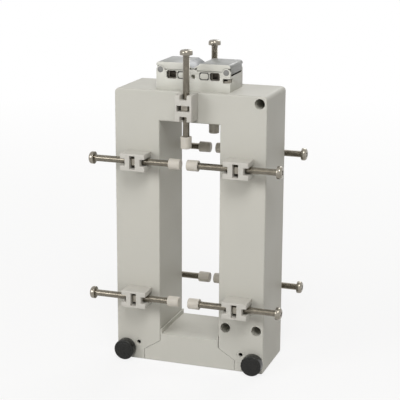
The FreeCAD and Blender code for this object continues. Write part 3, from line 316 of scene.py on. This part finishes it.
def mouldedPlastic(name, look):
    # spark-eroded plastic: two near tones in soft clouds, fine grain, slightly uneven gloss
    material, tree, shader = newMaterial(name)
    clouds = addNoise(tree, look["cloudScale"], detail=2.0)
    tone = mapRange(tree, clouds, surface["cloudSpan"], (0.0, 1.0))
    colour = mixColours(tree, tone, look["tone"], look["secondTone"])
    specks = addNoise(tree, look["speckScale"], detail=1.0)
    share = mapRange(tree, specks, surface["speckSpan"], (0.0, look["specks"]))
    colour = mixColours(tree, share, colour, look["speckTone"])
    tree.links.new(colour, shader.inputs["Base Color"])
    addGloss(tree, shader, addNoise(tree, look["cloudScale"] * 3, detail=3.0), look["roughness"])
    grain = addNoise(tree, look["grainScale"], detail=2.0)
    addBump(tree, shader, grain, look["grainStrength"], look["grainHeight"])
    shader.inputs["IOR"].default_value = look.get("ior", surface["ior"])
    shader.inputs["Subsurface Weight"].default_value = look.get("glow", 0.0)
    shader.inputs["Subsurface Radius"].default_value = surface["glowReach"]
    return material


def drawnMetal(name, look):
    # metal with small stains and fine lines; lineStretch is small along the way the lines run
    material, tree, shader = newMaterial(name)
    stains = addNoise(tree, look["stainScale"], detail=3.0)
    share = mapRange(tree, stains, surface["stainSpan"], (0.0, 1.0))
    colour = mixColours(tree, share, look["tone"], look["stainTone"])
    tree.links.new(colour, shader.inputs["Base Color"])
    shader.inputs["Metallic"].default_value = 1.0
    lines = addNoise(tree, look["lineScale"], detail=2.0, stretch=look["lineStretch"])
    addGloss(tree, shader, lines, look["roughness"])
    addBump(tree, shader, lines, look["lineStrength"], surface["lineHeight"])
    return material


housingPlastic = mouldedPlastic("housingPlastic", {
    "tone": (0.545, 0.535, 0.485),
    "secondTone": (0.530, 0.525, 0.480),
    "cloudScale": 9.0,
    "speckTone": (0.40, 0.39, 0.35),
    "speckScale": 900.0,
    "specks": 0.10,
    "roughness": (0.46, 0.58),
    "grainScale": 1500.0,
    "grainStrength": 0.22,
    "grainHeight": 0.06,
})
clipPlastic = mouldedPlastic("clipPlastic", {
    "tone": (0.550, 0.533, 0.492),
    "secondTone": (0.532, 0.520, 0.482),
    "cloudScale": 30.0,
    "speckTone": (0.45, 0.44, 0.40),
    "speckScale": 900.0,
    "specks": 0.08,
    "roughness": (0.42, 0.52),
    "grainScale": 1800.0,
    "grainStrength": 0.18,
    "grainHeight": 0.05,
})
capPlastic = mouldedPlastic("capPlastic", {
    "tone": (0.565, 0.532, 0.475),
    "secondTone": (0.540, 0.512, 0.458),
    "cloudScale": 60.0,
    "speckTone": (0.55, 0.50, 0.40),
    "speckScale": 1200.0,
    "specks": 0.10,
    "roughness": (0.40, 0.50),
    "grainScale": 2200.0,
    "grainStrength": 0.12,
    "grainHeight": 0.04,
    "glow": 0.15,
})
blockPlastic = mouldedPlastic("blockPlastic", {
    "tone": (0.630, 0.628, 0.575),
    "secondTone": (0.610, 0.608, 0.562),
    "cloudScale": 25.0,
    "speckTone": (0.40, 0.40, 0.38),
    "speckScale": 900.0,
    "specks": 0.08,
    "roughness": (0.36, 0.48),
    "grainScale": 1800.0,
    "grainStrength": 0.16,
    "grainHeight": 0.05,
})
knobPlastic = mouldedPlastic("knobPlastic", {
    "tone": (0.010, 0.010, 0.009),
    "secondTone": (0.014, 0.014, 0.012),
    "ior": 1.36,
    "cloudScale": 80.0,
    "speckTone": (0.05, 0.05, 0.045),
    "speckScale": 1500.0,
    "specks": 0.25,
    "roughness": (0.24, 0.32),
    "grainScale": 1600.0,
    "grainStrength": 0.35,
    "grainHeight": 0.06,
})
formerPlastic = mouldedPlastic("formerPlastic", {
    "tone": (0.045, 0.045, 0.048),
    "secondTone": (0.060, 0.060, 0.062),
    "cloudScale": 40.0,
    "speckTone": (0.10, 0.10, 0.10),
    "speckScale": 1200.0,
    "specks": 0.2,
    "roughness": (0.45, 0.6),
    "grainScale": 1500.0,
    "grainStrength": 0.25,
    "grainHeight": 0.05,
})
pinPlastic = mouldedPlastic("pinPlastic", {
    "tone": (0.235, 0.235, 0.225),
    "secondTone": (0.215, 0.217, 0.210),
    "cloudScale": 60.0,
    "speckTone": (0.15, 0.15, 0.14),
    "speckScale": 1200.0,
    "specks": 0.1,
    "roughness": (0.36, 0.48),
    "grainScale": 1800.0,
    "grainStrength": 0.16,
    "grainHeight": 0.05,
})
padRubber = mouldedPlastic("padRubber", {
    "tone": (0.030, 0.030, 0.030),
    "secondTone": (0.042, 0.041, 0.040),
    "cloudScale": 60.0,
    "speckTone": (0.09, 0.09, 0.09),
    "speckScale": 1500.0,
    "specks": 0.2,
    "roughness": (0.7, 0.85),
    "grainScale": 1200.0,
    "grainStrength": 0.4,
    "grainHeight": 0.08,
})
screwSteel = drawnMetal("screwSteel", {
    "tone": (0.318, 0.294, 0.248),
    "stainTone": (0.250, 0.228, 0.190),
    "stainScale": 260.0,
    "lineScale": 900.0,
    "lineStretch": (1, 1, 0.25),
    "lineStrength": 0.06,
    "roughness": (0.15, 0.22),
})
coreSteel = drawnMetal("coreSteel", {
    "tone": (0.23, 0.23, 0.235),
    "stainTone": (0.15, 0.15, 0.155),
    "stainScale": 60.0,
    "lineScale": 500.0,
    "lineStretch": (0.1, 6.0, 0.1),  # edges of the sheets, stacked along Y
    "lineStrength": 0.8,
    "roughness": (0.40, 0.60),
})
# a darker copy of the screw steel: painted shade for the metal deep inside the terminal block and
# housing
shadedTerminalMetal = drawnMetal("shadedTerminalMetal", {
    "tone": (0.19, 0.173, 0.15),
    "stainTone": (0.08, 0.072, 0.06),
    "stainScale": 300.0,
    "lineScale": 1200.0,
    "lineStretch": (1, 1, 0.4),
    "lineStrength": 0.12,
    "roughness": (0.16, 0.28),
})
coilCopper = drawnMetal("coilCopper", {
    "tone": (0.42, 0.17, 0.07),
    "stainTone": (0.28, 0.10, 0.04),
    "stainScale": 120.0,
    "lineScale": 350.0,
    "lineStretch": (0.05, 0.05, 4.0),  # turns of wire, one above the other
    "lineStrength": 1.0,
    "roughness": (0.28, 0.45),
})


def smokedPlastic(name, look):
    # tinted lid plastic that lets some light through, with painted shade darkening the slopes of
    # the valley between the lids
    material, tree, shader = newMaterial(name)
    clouds = addNoise(tree, look["cloudScale"], detail=2.0)
    colour = mixColours(tree, clouds, look["tone"], look["secondTone"])
    place = tree.nodes.new("ShaderNodeTexCoord")
    parts = tree.nodes.new("ShaderNodeSeparateXYZ")
    tree.links.new(place.outputs["Object"], parts.inputs["Vector"])
    distance = tree.nodes.new("ShaderNodeMath")
    distance.operation = "ABSOLUTE"
    tree.links.new(parts.outputs["X"], distance.inputs[0])
    # painted shade: the colour turns darker near the middle, on the valley's slopes
    fade = (look["slopeEnd"] * mm, (look["slopeEnd"] + look["slopeFade"]) * mm)
    valleyShade = mapRange(tree, distance.outputs[0], fade, (1.0, 0.0))
    colour = mixColours(tree, valleyShade, colour, look["valleyShadeTone"])
    tree.links.new(colour, shader.inputs["Base Color"])
    addGloss(tree, shader, addNoise(tree, look["cloudScale"] * 4, detail=3.0), look["roughness"])
    shader.inputs["Transmission Weight"].default_value = look["clear"]
    shader.inputs["IOR"].default_value = look["ior"]
    grain = addNoise(tree, look["grainScale"], detail=2.0)
    addBump(tree, shader, grain, look["grainStrength"], look["grainHeight"])
    return material


lidPlastic = smokedPlastic("lidPlastic", {
    "tone": (0.300, 0.308, 0.294),
    "secondTone": (0.284, 0.294, 0.284),
    # painted shade for the valley's slopes
    "valleyShadeTone": (0.192, 0.207, 0.220),
    "slopeEnd": 6.8,  # half width of the valley between the lids
    "slopeFade": 0.6,
    "cloudScale": 40.0,
    "clear": 0.10,
    "ior": 1.49,
    "roughness": (0.30, 0.40),
    "grainScale": 600.0,
    "grainStrength": 0.05,
    "grainHeight": 0.04,
})
print("materials made")


# Clamp screws: a rolled thread under a pan head with a cross recess

clampScrew = {
    "length": 80.0,
    "headHeight": 4.6,
    "headRadius": 5.6,
    "headFoot": 0.3,  # round of the head's lower edge
    "headRound": 2.3,  # round of its upper edge
    "headRoundDepth": 2.35,  # how deep under the crown that round's centre lies
    "crown": ((1.9, 0.03), (1.0, 0.01), (0.0, 0.0)),  # radius, depth under the crown
    "headSteps": 72,
    "pitch": 1.0,
    "threadDepth": 0.42,
    "crest": (0.28, 0.62),  # where the ridge is full, as shares of the pitch
    "flankEnd": 0.90,
    "stepsPerTurn": 20,
    "recessReach": 3.0,
    "recessWidth": 1.45,
    "recessLevels": ((-2.4, 0.62), (0.5, 1.05)),  # height over the crown, share of the size
    "spin": 37,  # degrees from one screw's recess to the next one's
}


def addThread(bm, look, low, high):
    # one ridge wound upwards, its profile given as shares of the pitch; closed at both ends
    crest = shared["threadRadius"]
    root = crest - look["threadDepth"]
    begin, end = look["crest"]
    profile = ((0.0, root), (begin, crest), (end, crest), (look["flankEnd"], root), (1.0, root))
    steps = look["stepsPerTurn"]
    rows = int((high - low) / look["pitch"] * steps) - steps
    columns = []
    for row in range(rows + 1):
        angle = 2 * math.pi * row / steps
        rise = low + look["pitch"] * row / steps
        line = []
        for share, radius in profile:
            height = rise + share * look["pitch"]
            line.append(bm.verts.new((
                radius * mm * math.cos(angle), radius * mm * math.sin(angle), height * mm
            )))
        columns.append(line)
    for first, second in zip(columns, columns[1:]):
        for k in range(len(profile) - 1):
            bm.faces.new((first[k], second[k], second[k + 1], first[k + 1]))
    bmesh.ops.remove_doubles(bm, verts=bm.verts, dist=meshing["join"])
    ends = [edge for edge in bm.edges if edge.is_boundary]
    bmesh.ops.holes_fill(bm, edges=ends, sides=0)


def threadedShank(look):
    bm = bmesh.new()
    addThread(bm, look, -look["length"], look["pitch"])
    return finishMesh("threadedShank", bm, meshing["smoothThread"])


def panHead(look, material):
    # own axes: underside of the head at Z = 0, crown upwards
    radius, height = look["headRadius"], look["headHeight"]
    foot, rounding = look["headFoot"], look["headRound"]
    bm = bmesh.new()
    outline = [(0.0, 0.0), (radius - foot, 0.0)]
    outline += arcPoints(radius - foot, foot, foot, -90, 0, 4)
    outline += arcPoints(radius - rounding, height - look["headRoundDepth"], rounding, 0, 75, 12)
    outline += [(spot, height - depth) for spot, depth in look["crown"]]
    lathe(bm, outline, look["headSteps"])
    head = addObject("head", finishMesh("head", bm), [material])
    for turn in (0, 90):
        cutWith(head, recessArm(look, turn))
    return head


def recessArm(look, turn):
    # one tapered bar of the cross recess
    corners = rectangle(look["recessReach"], look["recessWidth"] / 2)
    bm = bmesh.new()
    levels = []
    for rise, share in look["recessLevels"]:
        height = look["headHeight"] + rise
        levels.append([
            bm.verts.new((x * share * mm, y * share * mm, height * mm)) for x, y in corners
        ])
    bm.faces.new(levels[0])
    bm.faces.new(levels[1])
    joinRings(bm, *levels)
    bm.transform(Matrix.Rotation(math.radians(turn), 4, "Z"))
    return bm


def screwPlace(place):
    # where the underside of the head sits, and the turn that points the head outwards
    low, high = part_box(f"clamp_screw_{place}")
    centre = (low + high) / 2
    headHeight = clampScrew["headHeight"] * mm
    if place.endswith("left"):
        outwards = Matrix.Rotation(-math.pi / 2, 4, "Y")
        return placed(low.x + headHeight, centre.y, centre.z, outwards)
    if place.endswith("right"):
        outwards = Matrix.Rotation(math.pi / 2, 4, "Y")
        return placed(high.x - headHeight, centre.y, centre.z, outwards)
    return placed(centre.x, centre.y, high.z - headHeight)


def makeClampScrews():
    head = panHead(clampScrew, screwSteel)
    shank = threadedShank(clampScrew)
    for number, place in enumerate(clampPlaces):
        spin = Matrix.Rotation(math.radians(clampScrew["spin"] * number), 4, "Z")
        mesh = joinMeshes("clampScrew", [(head.data, spin), (shank, spin)])
        shadeByAngle(mesh, meshing["smoothThread"])
        screw = addObject(f"clampScrew.{place}", mesh, [screwSteel])
        screw.matrix_world = screwPlace(place)
        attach(screw, f"{place}_screw")
        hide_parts(f"clamp_screw_{place}")
    bpy.data.objects.remove(head)
    print("clamp screws made")


makeClampScrews()


# Tip caps: ivory sleeves pushed over the screw ends

tipCap = {
    "radius": 4.9,
    "length": 10.5,
    "endWall": 1.4,
    "bore": 3.06,
    "mouth": 0.4,  # chamfer of the bore
    "endRound": 0.9,
    "rimRound": 0.35,
    "taper": 0.12,
    "dentRadius": 1.1,  # dent in the closed end
    "dentRim": 1.25,
    "dentDepth": 0.12,
    "steps": 64,
}


def makeTipCaps():
    look = tipCap
    radius, small = look["radius"], look["radius"] - look["taper"]
    low = -clampScrew["length"] - look["endWall"]
    high = low + look["length"]
    inside = low + look["endWall"]
    dent = low + look["dentDepth"]
    endRound, rimRound = look["endRound"], look["rimRound"]
    bore, mouth = look["bore"], look["mouth"]
    outline = [(0.0, dent), (look["dentRadius"], dent), (look["dentRim"], low)]
    outline += arcPoints(small - endRound, low + endRound, endRound, -90, 0, 8)
    outline += arcPoints(radius - rimRound, high - rimRound, rimRound, 0, 90, 5)
    outline += [(bore + mouth, high), (bore, high - mouth), (bore, inside), (0.0, inside)]
    bm = bmesh.new()
    lathe(bm, outline, look["steps"])
    mesh = finishMesh("tipCap", bm)
    for place in clampPlaces:
        cap = addObject(f"tipCap.{place}", mesh.copy(), [capPlastic])
        cap.matrix_world = screwPlace(place)
        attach(cap, f"{place}_screw")
        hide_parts(f"tip_cap_{place}")
    print("tip caps made")


makeTipCaps()


# Clips: H-shaped blocks with slots for the screw and a pocket for its nut

clip = {
    "length": 23.5,
    "web": 14.5,
    "across": 16.0,
    "slot": 6.6,
    "nutWidth": 5.3,
    "nutAcross": 11.85,
    "nutFloor": 3.4,
    "bore": 3.4,
    "boreSteps": 48,
    "edge": 0.55,
    "edgeSteps": 3,
    "draft": 0.25,  # narrower at its outer face
}


def clipMesh(look):
    # own axes: the screw runs along X, the clip stands up along Z from the housing
    half, web, across, slot = (look[k] / 2 for k in ("length", "web", "across", "slot"))
    right = [
        (half, -across), (half, -slot), (web, -slot), (web, slot), (half, slot), (half, across)
    ]
    corners = right + [(-x, y) for x, y in reversed(right)]
    bm = bmesh.new()
    prism(bm, corners, 0.0, shared["clipHeight"])
    for vert in bm.verts:
        if vert.co.z > 0:
            vert.co.x *= 1 - look["draft"] / half
            vert.co.y *= 1 - look["draft"] / across
    piece = addObject("clip", finishMesh("clip", bm), [])
    roundEdges(piece, look["edge"], look["edgeSteps"])
    settle(piece)
    pocket = bmesh.new()
    corners = rectangle(look["nutWidth"] / 2, look["nutAcross"] / 2)
    prism(pocket, corners, look["nutFloor"], shared["clipHeight"] + shared["overcut"])
    cutWith(piece, pocket)
    bore = bmesh.new()
    lathe(bore, rod(look["bore"], -half, half), look["boreSteps"])
    bore.transform(placed(0, 0, shared["screwOff"] * mm, Matrix.Rotation(math.pi / 2, 4, "Y")))
    cutWith(piece, bore)
    mesh = piece.data
    bpy.data.objects.remove(piece)
    return mesh


def clipPlace(place):
    low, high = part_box(f"clip_{place}")
    centre = (low + high) / 2
    face = place.split("_")[0]
    outer = low.y if face == "front" else high.y
    foot = outer - faces[face] * shared["clipHeight"] * mm
    outwards = Matrix.Rotation(math.pi / 2 * -faces[face], 4, "X")  # Z to the face's normal
    if place.endswith("top"):
        outwards = outwards @ Matrix.Rotation(math.pi / 2, 4, "Z")
    return placed(centre.x, foot, centre.z, outwards)


def makeClips():
    mesh = clipMesh(clip)
    for place in clampPlaces:
        piece = addObject(f"clip.{place}", mesh.copy(), [clipPlastic])
        piece.matrix_world = clipPlace(place)
        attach(piece, "housing")
        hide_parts(f"clip_{place}")
    print("clips made")


makeClips()


# Hexagon nuts in the clips' pockets

clampNut = {
    "flats": 10.0,
    "height": 5.0,
    "bore": 3.06,
    "boreSteps": 40,
    "coneSlope": 0.5,  # of the cone that chamfers the corners
    "coneReach": 2.0,  # how far it goes out past them
    "coneRise": 1.95,
    "coneSteps": 60,
}


def nutMesh(look):
    # own axes: the screw runs along X, corners towards Y
    corner = look["flats"] / math.sqrt(3)
    half = look["height"] / 2
    angles = [math.pi / 3 * k for k in range(6)]
    corners = [(corner * math.cos(angle), corner * math.sin(angle)) for angle in angles]
    bm = bmesh.new()
    prism(bm, corners, -half, half)
    piece = addObject("nut", finishMesh("nut", bm), [])
    flat, reach = look["flats"] / 2, corner + look["coneReach"]
    foot, top = half - (reach - flat) * look["coneSlope"], half + look["coneRise"]
    outline = [(flat, half), (reach, foot), (reach, top), (flat, top), (flat, half)]
    for way in (1, -1):
        cone = bmesh.new()
        lathe(cone, [(radius, height * way) for radius, height in outline], look["coneSteps"])
        bmesh.ops.remove_doubles(cone, verts=cone.verts, dist=meshing["join"])
        cutWith(piece, cone)
    hole = bmesh.new()
    end = half + shared["overcut"]
    lathe(hole, rod(look["bore"], -end, end), look["boreSteps"])
    cutWith(piece, hole)
    mesh = piece.data
    mesh.transform(Matrix.Rotation(math.pi / 2, 4, "Y") @ Matrix.Rotation(math.pi / 2, 4, "Z"))
    bpy.data.objects.remove(piece)
    return mesh


def makeNuts():
    mesh = nutMesh(clampNut)
    lift = placed(0, 0, shared["screwOff"] * mm)
    nuts = joinMeshes("clampNuts", [(mesh, clipPlace(place) @ lift) for place in clampPlaces])
    shadeByAngle(nuts, meshing["smoothFine"])
    piece = addObject("clampNuts", nuts, [screwSteel])
    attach(piece, "housing")
    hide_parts("clamp_nuts")
    print("nuts made")


makeNuts()


# Thumb knobs: black discs with a raised middle

thumbKnob = {
    "radius": 9.4,
    "length": 8.4,
    "foot": 0.6,  # round of the edge at the housing
    "rim": 0.9,  # round of the outer edge
    "face": 6.9,  # radius of the raised middle
    "step": 0.35,  # height of the raised middle, and how far its flank runs out
    "faceRound": 0.25,
    "faceRoundDepth": 0.3,
    "crown": 0.02,  # how much the disc and its middle swell
    "steps": 96,
}


def makeKnobs():
    look = thumbKnob
    radius, length, rim, foot = look["radius"], look["length"], look["rim"], look["foot"]
    face, faceRound, crown = look["face"], look["faceRound"], look["crown"]
    shoulder = length - look["step"]
    outline = [(0.0, 0.0), (radius - foot, 0.0)]
    outline += arcPoints(radius - foot, foot, foot, -90, 0, 4)
    outline += arcPoints(radius - rim, shoulder - rim, rim, 0, 78, 8)
    outline += [(face + look["step"], shoulder + crown)]
    outline += arcPoints(face - faceRound, length - look["faceRoundDepth"], faceRound, 0, 80, 4)
    outline += [(face / 2, length - crown), (0.0, length)]
    for side in ("left", "right"):
        bm = bmesh.new()
        lathe(bm, outline, look["steps"])
        mesh = finishMesh("thumbKnob", bm, meshing["smoothFine"])
        knob = addObject(f"thumbKnob.{side}", mesh, [knobPlastic])
        low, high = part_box(f"{side}_thumb_knob")
        centre = (low + high) / 2
        knob.matrix_world = placed(centre.x, high.y, centre.z, Matrix.Rotation(math.pi / 2, 4, "X"))
        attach(knob, f"{side}_thumb_screw")
        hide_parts(f"{side}_thumb_knob")
    print("knobs made")


makeKnobs()


# Terminal block and lids

terminalBlock = {
    "edge": 0.4,
    "edgeSteps": 2,
    # where the groove floors with painted shade lie
    "grooveDepth": 1.0,
    "grooveReach": 0.05,  # how near that depth a face has to lie
    "facesFront": -0.9,  # its normal's Y has to be below this
}
terminalLid = {
    "edge": 0.4,
    "edgeSteps": 2,
    "pivotOut": 30.2,
    "pivotHeight": 269.0,
    "pinRadius": 3.0,
    "endReach": 0.3,  # how near an end a face has to lie
}


def paintFlaps(lid, node, look):
    # the end faces are of the block's plastic, the ends of the pivot pins of a darker one
    for material in (blockPlastic, pinPlastic):
        lid.data.materials.append(material)
    ends = [corner.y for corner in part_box(node)]
    for face in lid.data.polygons:
        centre = lid.matrix_world @ face.center
        atEnd = min(abs(centre.y - end) for end in ends) < look["endReach"] * mm
        across = abs(centre.x) - look["pivotOut"] * mm
        fromPin = math.hypot(across, centre.z - look["pivotHeight"] * mm)
        if atEnd:
            face.material_index = 1 if fromPin > look["pinRadius"] * mm else 2


def paintGrooveShade(block, look):
    # the floors of the grooves round the closed ports get a dark plastic, as painted shade for the
    # dark gap behind them
    block.data.materials.append(formerPlastic)
    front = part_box("terminal_block")[0].y
    for face in block.data.polygons:
        off = face.center.y - front - look["grooveDepth"] * mm
        if face.normal.y < look["facesFront"] and abs(off) < look["grooveReach"] * mm:
            face.material_index = 1


def makeTerminalBlock():
    look = terminalBlock
    block = roundedCopy(
        "terminal_block", "terminalBlock", look, "housing", blockPlastic
    )
    paintGrooveShade(block, look)
    look = terminalLid
    for side in ("left", "right"):
        name = f"terminalLid.{side}"
        node = f"{side}_terminal_lid"
        lid = roundedCopy(node, name, look, f"{side}_lid", lidPlastic)
        paintFlaps(lid, node, look)
    print("terminal block made")


makeTerminalBlock()


# CAD pieces that keep their shape get their finishes

finishes = {
    "housing_tub": housingPlastic,
    "rear_cover": housingPlastic,
    "yoke_shell": housingPlastic,
    "yoke_cover": housingPlastic,
    "u_core": coreSteel,
    "yoke_core": coreSteel,
    "core_pads": padRubber,
    "yoke_pad": padRubber,
    "yoke_lugs": screwSteel,
    "front_case_screws": screwSteel,
    "rear_case_screws": screwSteel,
    # the metal deep inside gets the darker copy of the screw steel, as painted shade
    "thumb_inserts": shadedTerminalMetal,
    "shorting_link": screwSteel,
    "terminal_bars": shadedTerminalMetal,
    "terminal_clamps": shadedTerminalMetal,
    "terminal_screws": screwSteel,
    "leads": coilCopper,
}
for side in ("left", "right"):
    finishes[f"{side}_winding"] = coilCopper
    finishes[f"{side}_winding_former"] = formerPlastic
    finishes[f"{side}_thumb_stud"] = screwSteel


def finishNodes():
    for node, material in finishes.items():
        slots = nodes[node].material_slots
        if not slots:
            nodes[node].data.materials.append(material)
        for materialSlot in slots:
            materialSlot.material = material
    print("CAD pieces finished")


finishNodes()


# Floor, light and camera

stage = {
    "floorSize": 6.0,
    "floorDrop": 0.0002,  # metres under the part
    "floorTone": (0.80, 0.80, 0.80),
    "floorRoughness": 0.9,
    "white": (0.82, 1.0),  # how much of the paper shows as plain white, near and far
    "whiteReach": (0.15, 1.4),  # metres from the object
    "skyTone": (1.0, 0.92, 0.80),
    "skyStrength": 0.18,
}
# round soft lamps, all turned to the object's middle; the key stands above the camera
lamps = {
    "key": {"place": (0.40, -1.09, 1.52), "size": 0.9, "power": 17.3},
    "left": {"place": (-0.95, -1.30, 0.75), "size": 0.9, "power": 10.0},
    "back": {"place": (0.10, 1.45, 1.25), "size": 1.0, "power": 9.5},
}


def showsDirectly(tree):
    # 1 for rays that come from the camera, a mirror or clear plastic
    path = tree.nodes.new("ShaderNodeLightPath")
    total = path.outputs["Is Camera Ray"]
    for name in ("Is Glossy Ray", "Is Transmission Ray"):
        add = tree.nodes.new("ShaderNodeMath")
        add.operation = "MAXIMUM"
        tree.links.new(total, add.inputs[0])
        tree.links.new(path.outputs[name], add.inputs[1])
        total = add.outputs[0]
    return total


def makeFloor():
    size = stage["floorSize"] / 2
    bm = bmesh.new()
    bm.faces.new([bm.verts.new((x, y, 0)) for x, y in rectangle(size, size)])
    material, tree, shader = newMaterial("floorPaper")
    shader.inputs["Base Color"].default_value = (*stage["floorTone"], 1)
    shader.inputs["Roughness"].default_value = stage["floorRoughness"]
    glow = tree.nodes.new("ShaderNodeEmission")
    glow.inputs["Strength"].default_value = 1.0
    # seen directly the paper turns to plain white away from the object, where lamplight fades
    place = tree.nodes.new("ShaderNodeTexCoord")
    distance = tree.nodes.new("ShaderNodeVectorMath")
    distance.operation = "LENGTH"
    tree.links.new(place.outputs["Object"], distance.inputs[0])
    white = mapRange(tree, distance.outputs["Value"], stage["whiteReach"], stage["white"])
    direct = tree.nodes.new("ShaderNodeMath")
    direct.operation = "MULTIPLY"
    tree.links.new(white, direct.inputs[0])
    tree.links.new(showsDirectly(tree), direct.inputs[1])
    mix = tree.nodes.new("ShaderNodeMixShader")
    tree.links.new(direct.outputs[0], mix.inputs["Fac"])
    tree.links.new(shader.outputs["BSDF"], mix.inputs[1])
    tree.links.new(glow.outputs["Emission"], mix.inputs[2])
    tree.links.new(mix.outputs["Shader"], tree.nodes["Material Output"].inputs["Surface"])
    floor = addObject("floor", finishMesh("floor", bm), [material])
    floor.location.z = cadBounds[0][2] - stage["floorDrop"]


def makeSky():
    world = bpy.data.worlds.new("studio")
    bpy.context.scene.world = world
    world.use_nodes = True
    tree = world.node_tree
    ambient = tree.nodes["Background"]
    ambient.inputs["Color"].default_value = (*stage["skyTone"], 1)
    ambient.inputs["Strength"].default_value = stage["skyStrength"]
    white = tree.nodes.new("ShaderNodeBackground")
    white.inputs["Color"].default_value = (1, 1, 1, 1)
    mix = tree.nodes.new("ShaderNodeMixShader")
    tree.links.new(showsDirectly(tree), mix.inputs["Fac"])
    tree.links.new(ambient.outputs["Background"], mix.inputs[1])
    tree.links.new(white.outputs["Background"], mix.inputs[2])
    tree.links.new(mix.outputs["Shader"], tree.nodes["World Output"].inputs["Surface"])


def addLamp(name, look, target):
    light = bpy.data.lights.new(f"{name}Light", "AREA")
    light.shape = "DISK"
    light.size = look["size"]
    light.energy = look["power"]
    lamp = bpy.data.objects.new(f"{name}Light", light)
    bpy.context.scene.collection.objects.link(lamp)
    place = Vector(look["place"])
    lamp.location = place
    lamp.rotation_euler = (target - place).to_track_quat("-Z", "Y").to_euler()


# the camera stands to the object's right and a little above it
view = {
    "lens": 113.77,
    "sensor": 36.0,
    "clipStart": 0.01,
    "place": (0.35873, -1.04851, 0.43780),
    "yaw": 18.899,
    "pitch": 14.634,
    "roll": 0.248,
}


def addCamera():
    camera = bpy.data.cameras.new("camera")
    camera.lens = view["lens"]
    camera.sensor_width = view["sensor"]
    camera.clip_start = view["clipStart"]
    eye = bpy.data.objects.new("camera", camera)
    bpy.context.scene.collection.objects.link(eye)
    turn = (
        Matrix.Rotation(math.radians(view["yaw"]), 4, "Z")
        @ Matrix.Rotation(-math.radians(view["pitch"]), 4, "X")
        @ Matrix.Rotation(-math.radians(view["roll"]), 4, "Y")
        @ Matrix.Rotation(math.pi / 2, 4, "X")
    )
    eye.matrix_world = placed(*view["place"], turn)
    bpy.context.scene.camera = eye


def makeStudio():
    makeFloor()
    makeSky()
    middle = Vector([(low + high) / 2 for low, high in zip(*cadBounds)])
    for name, look in lamps.items():
        addLamp(name, look, middle)
    addCamera()
    bpy.context.scene.view_settings.view_transform = "Standard"
    print("studio made")


makeStudio()
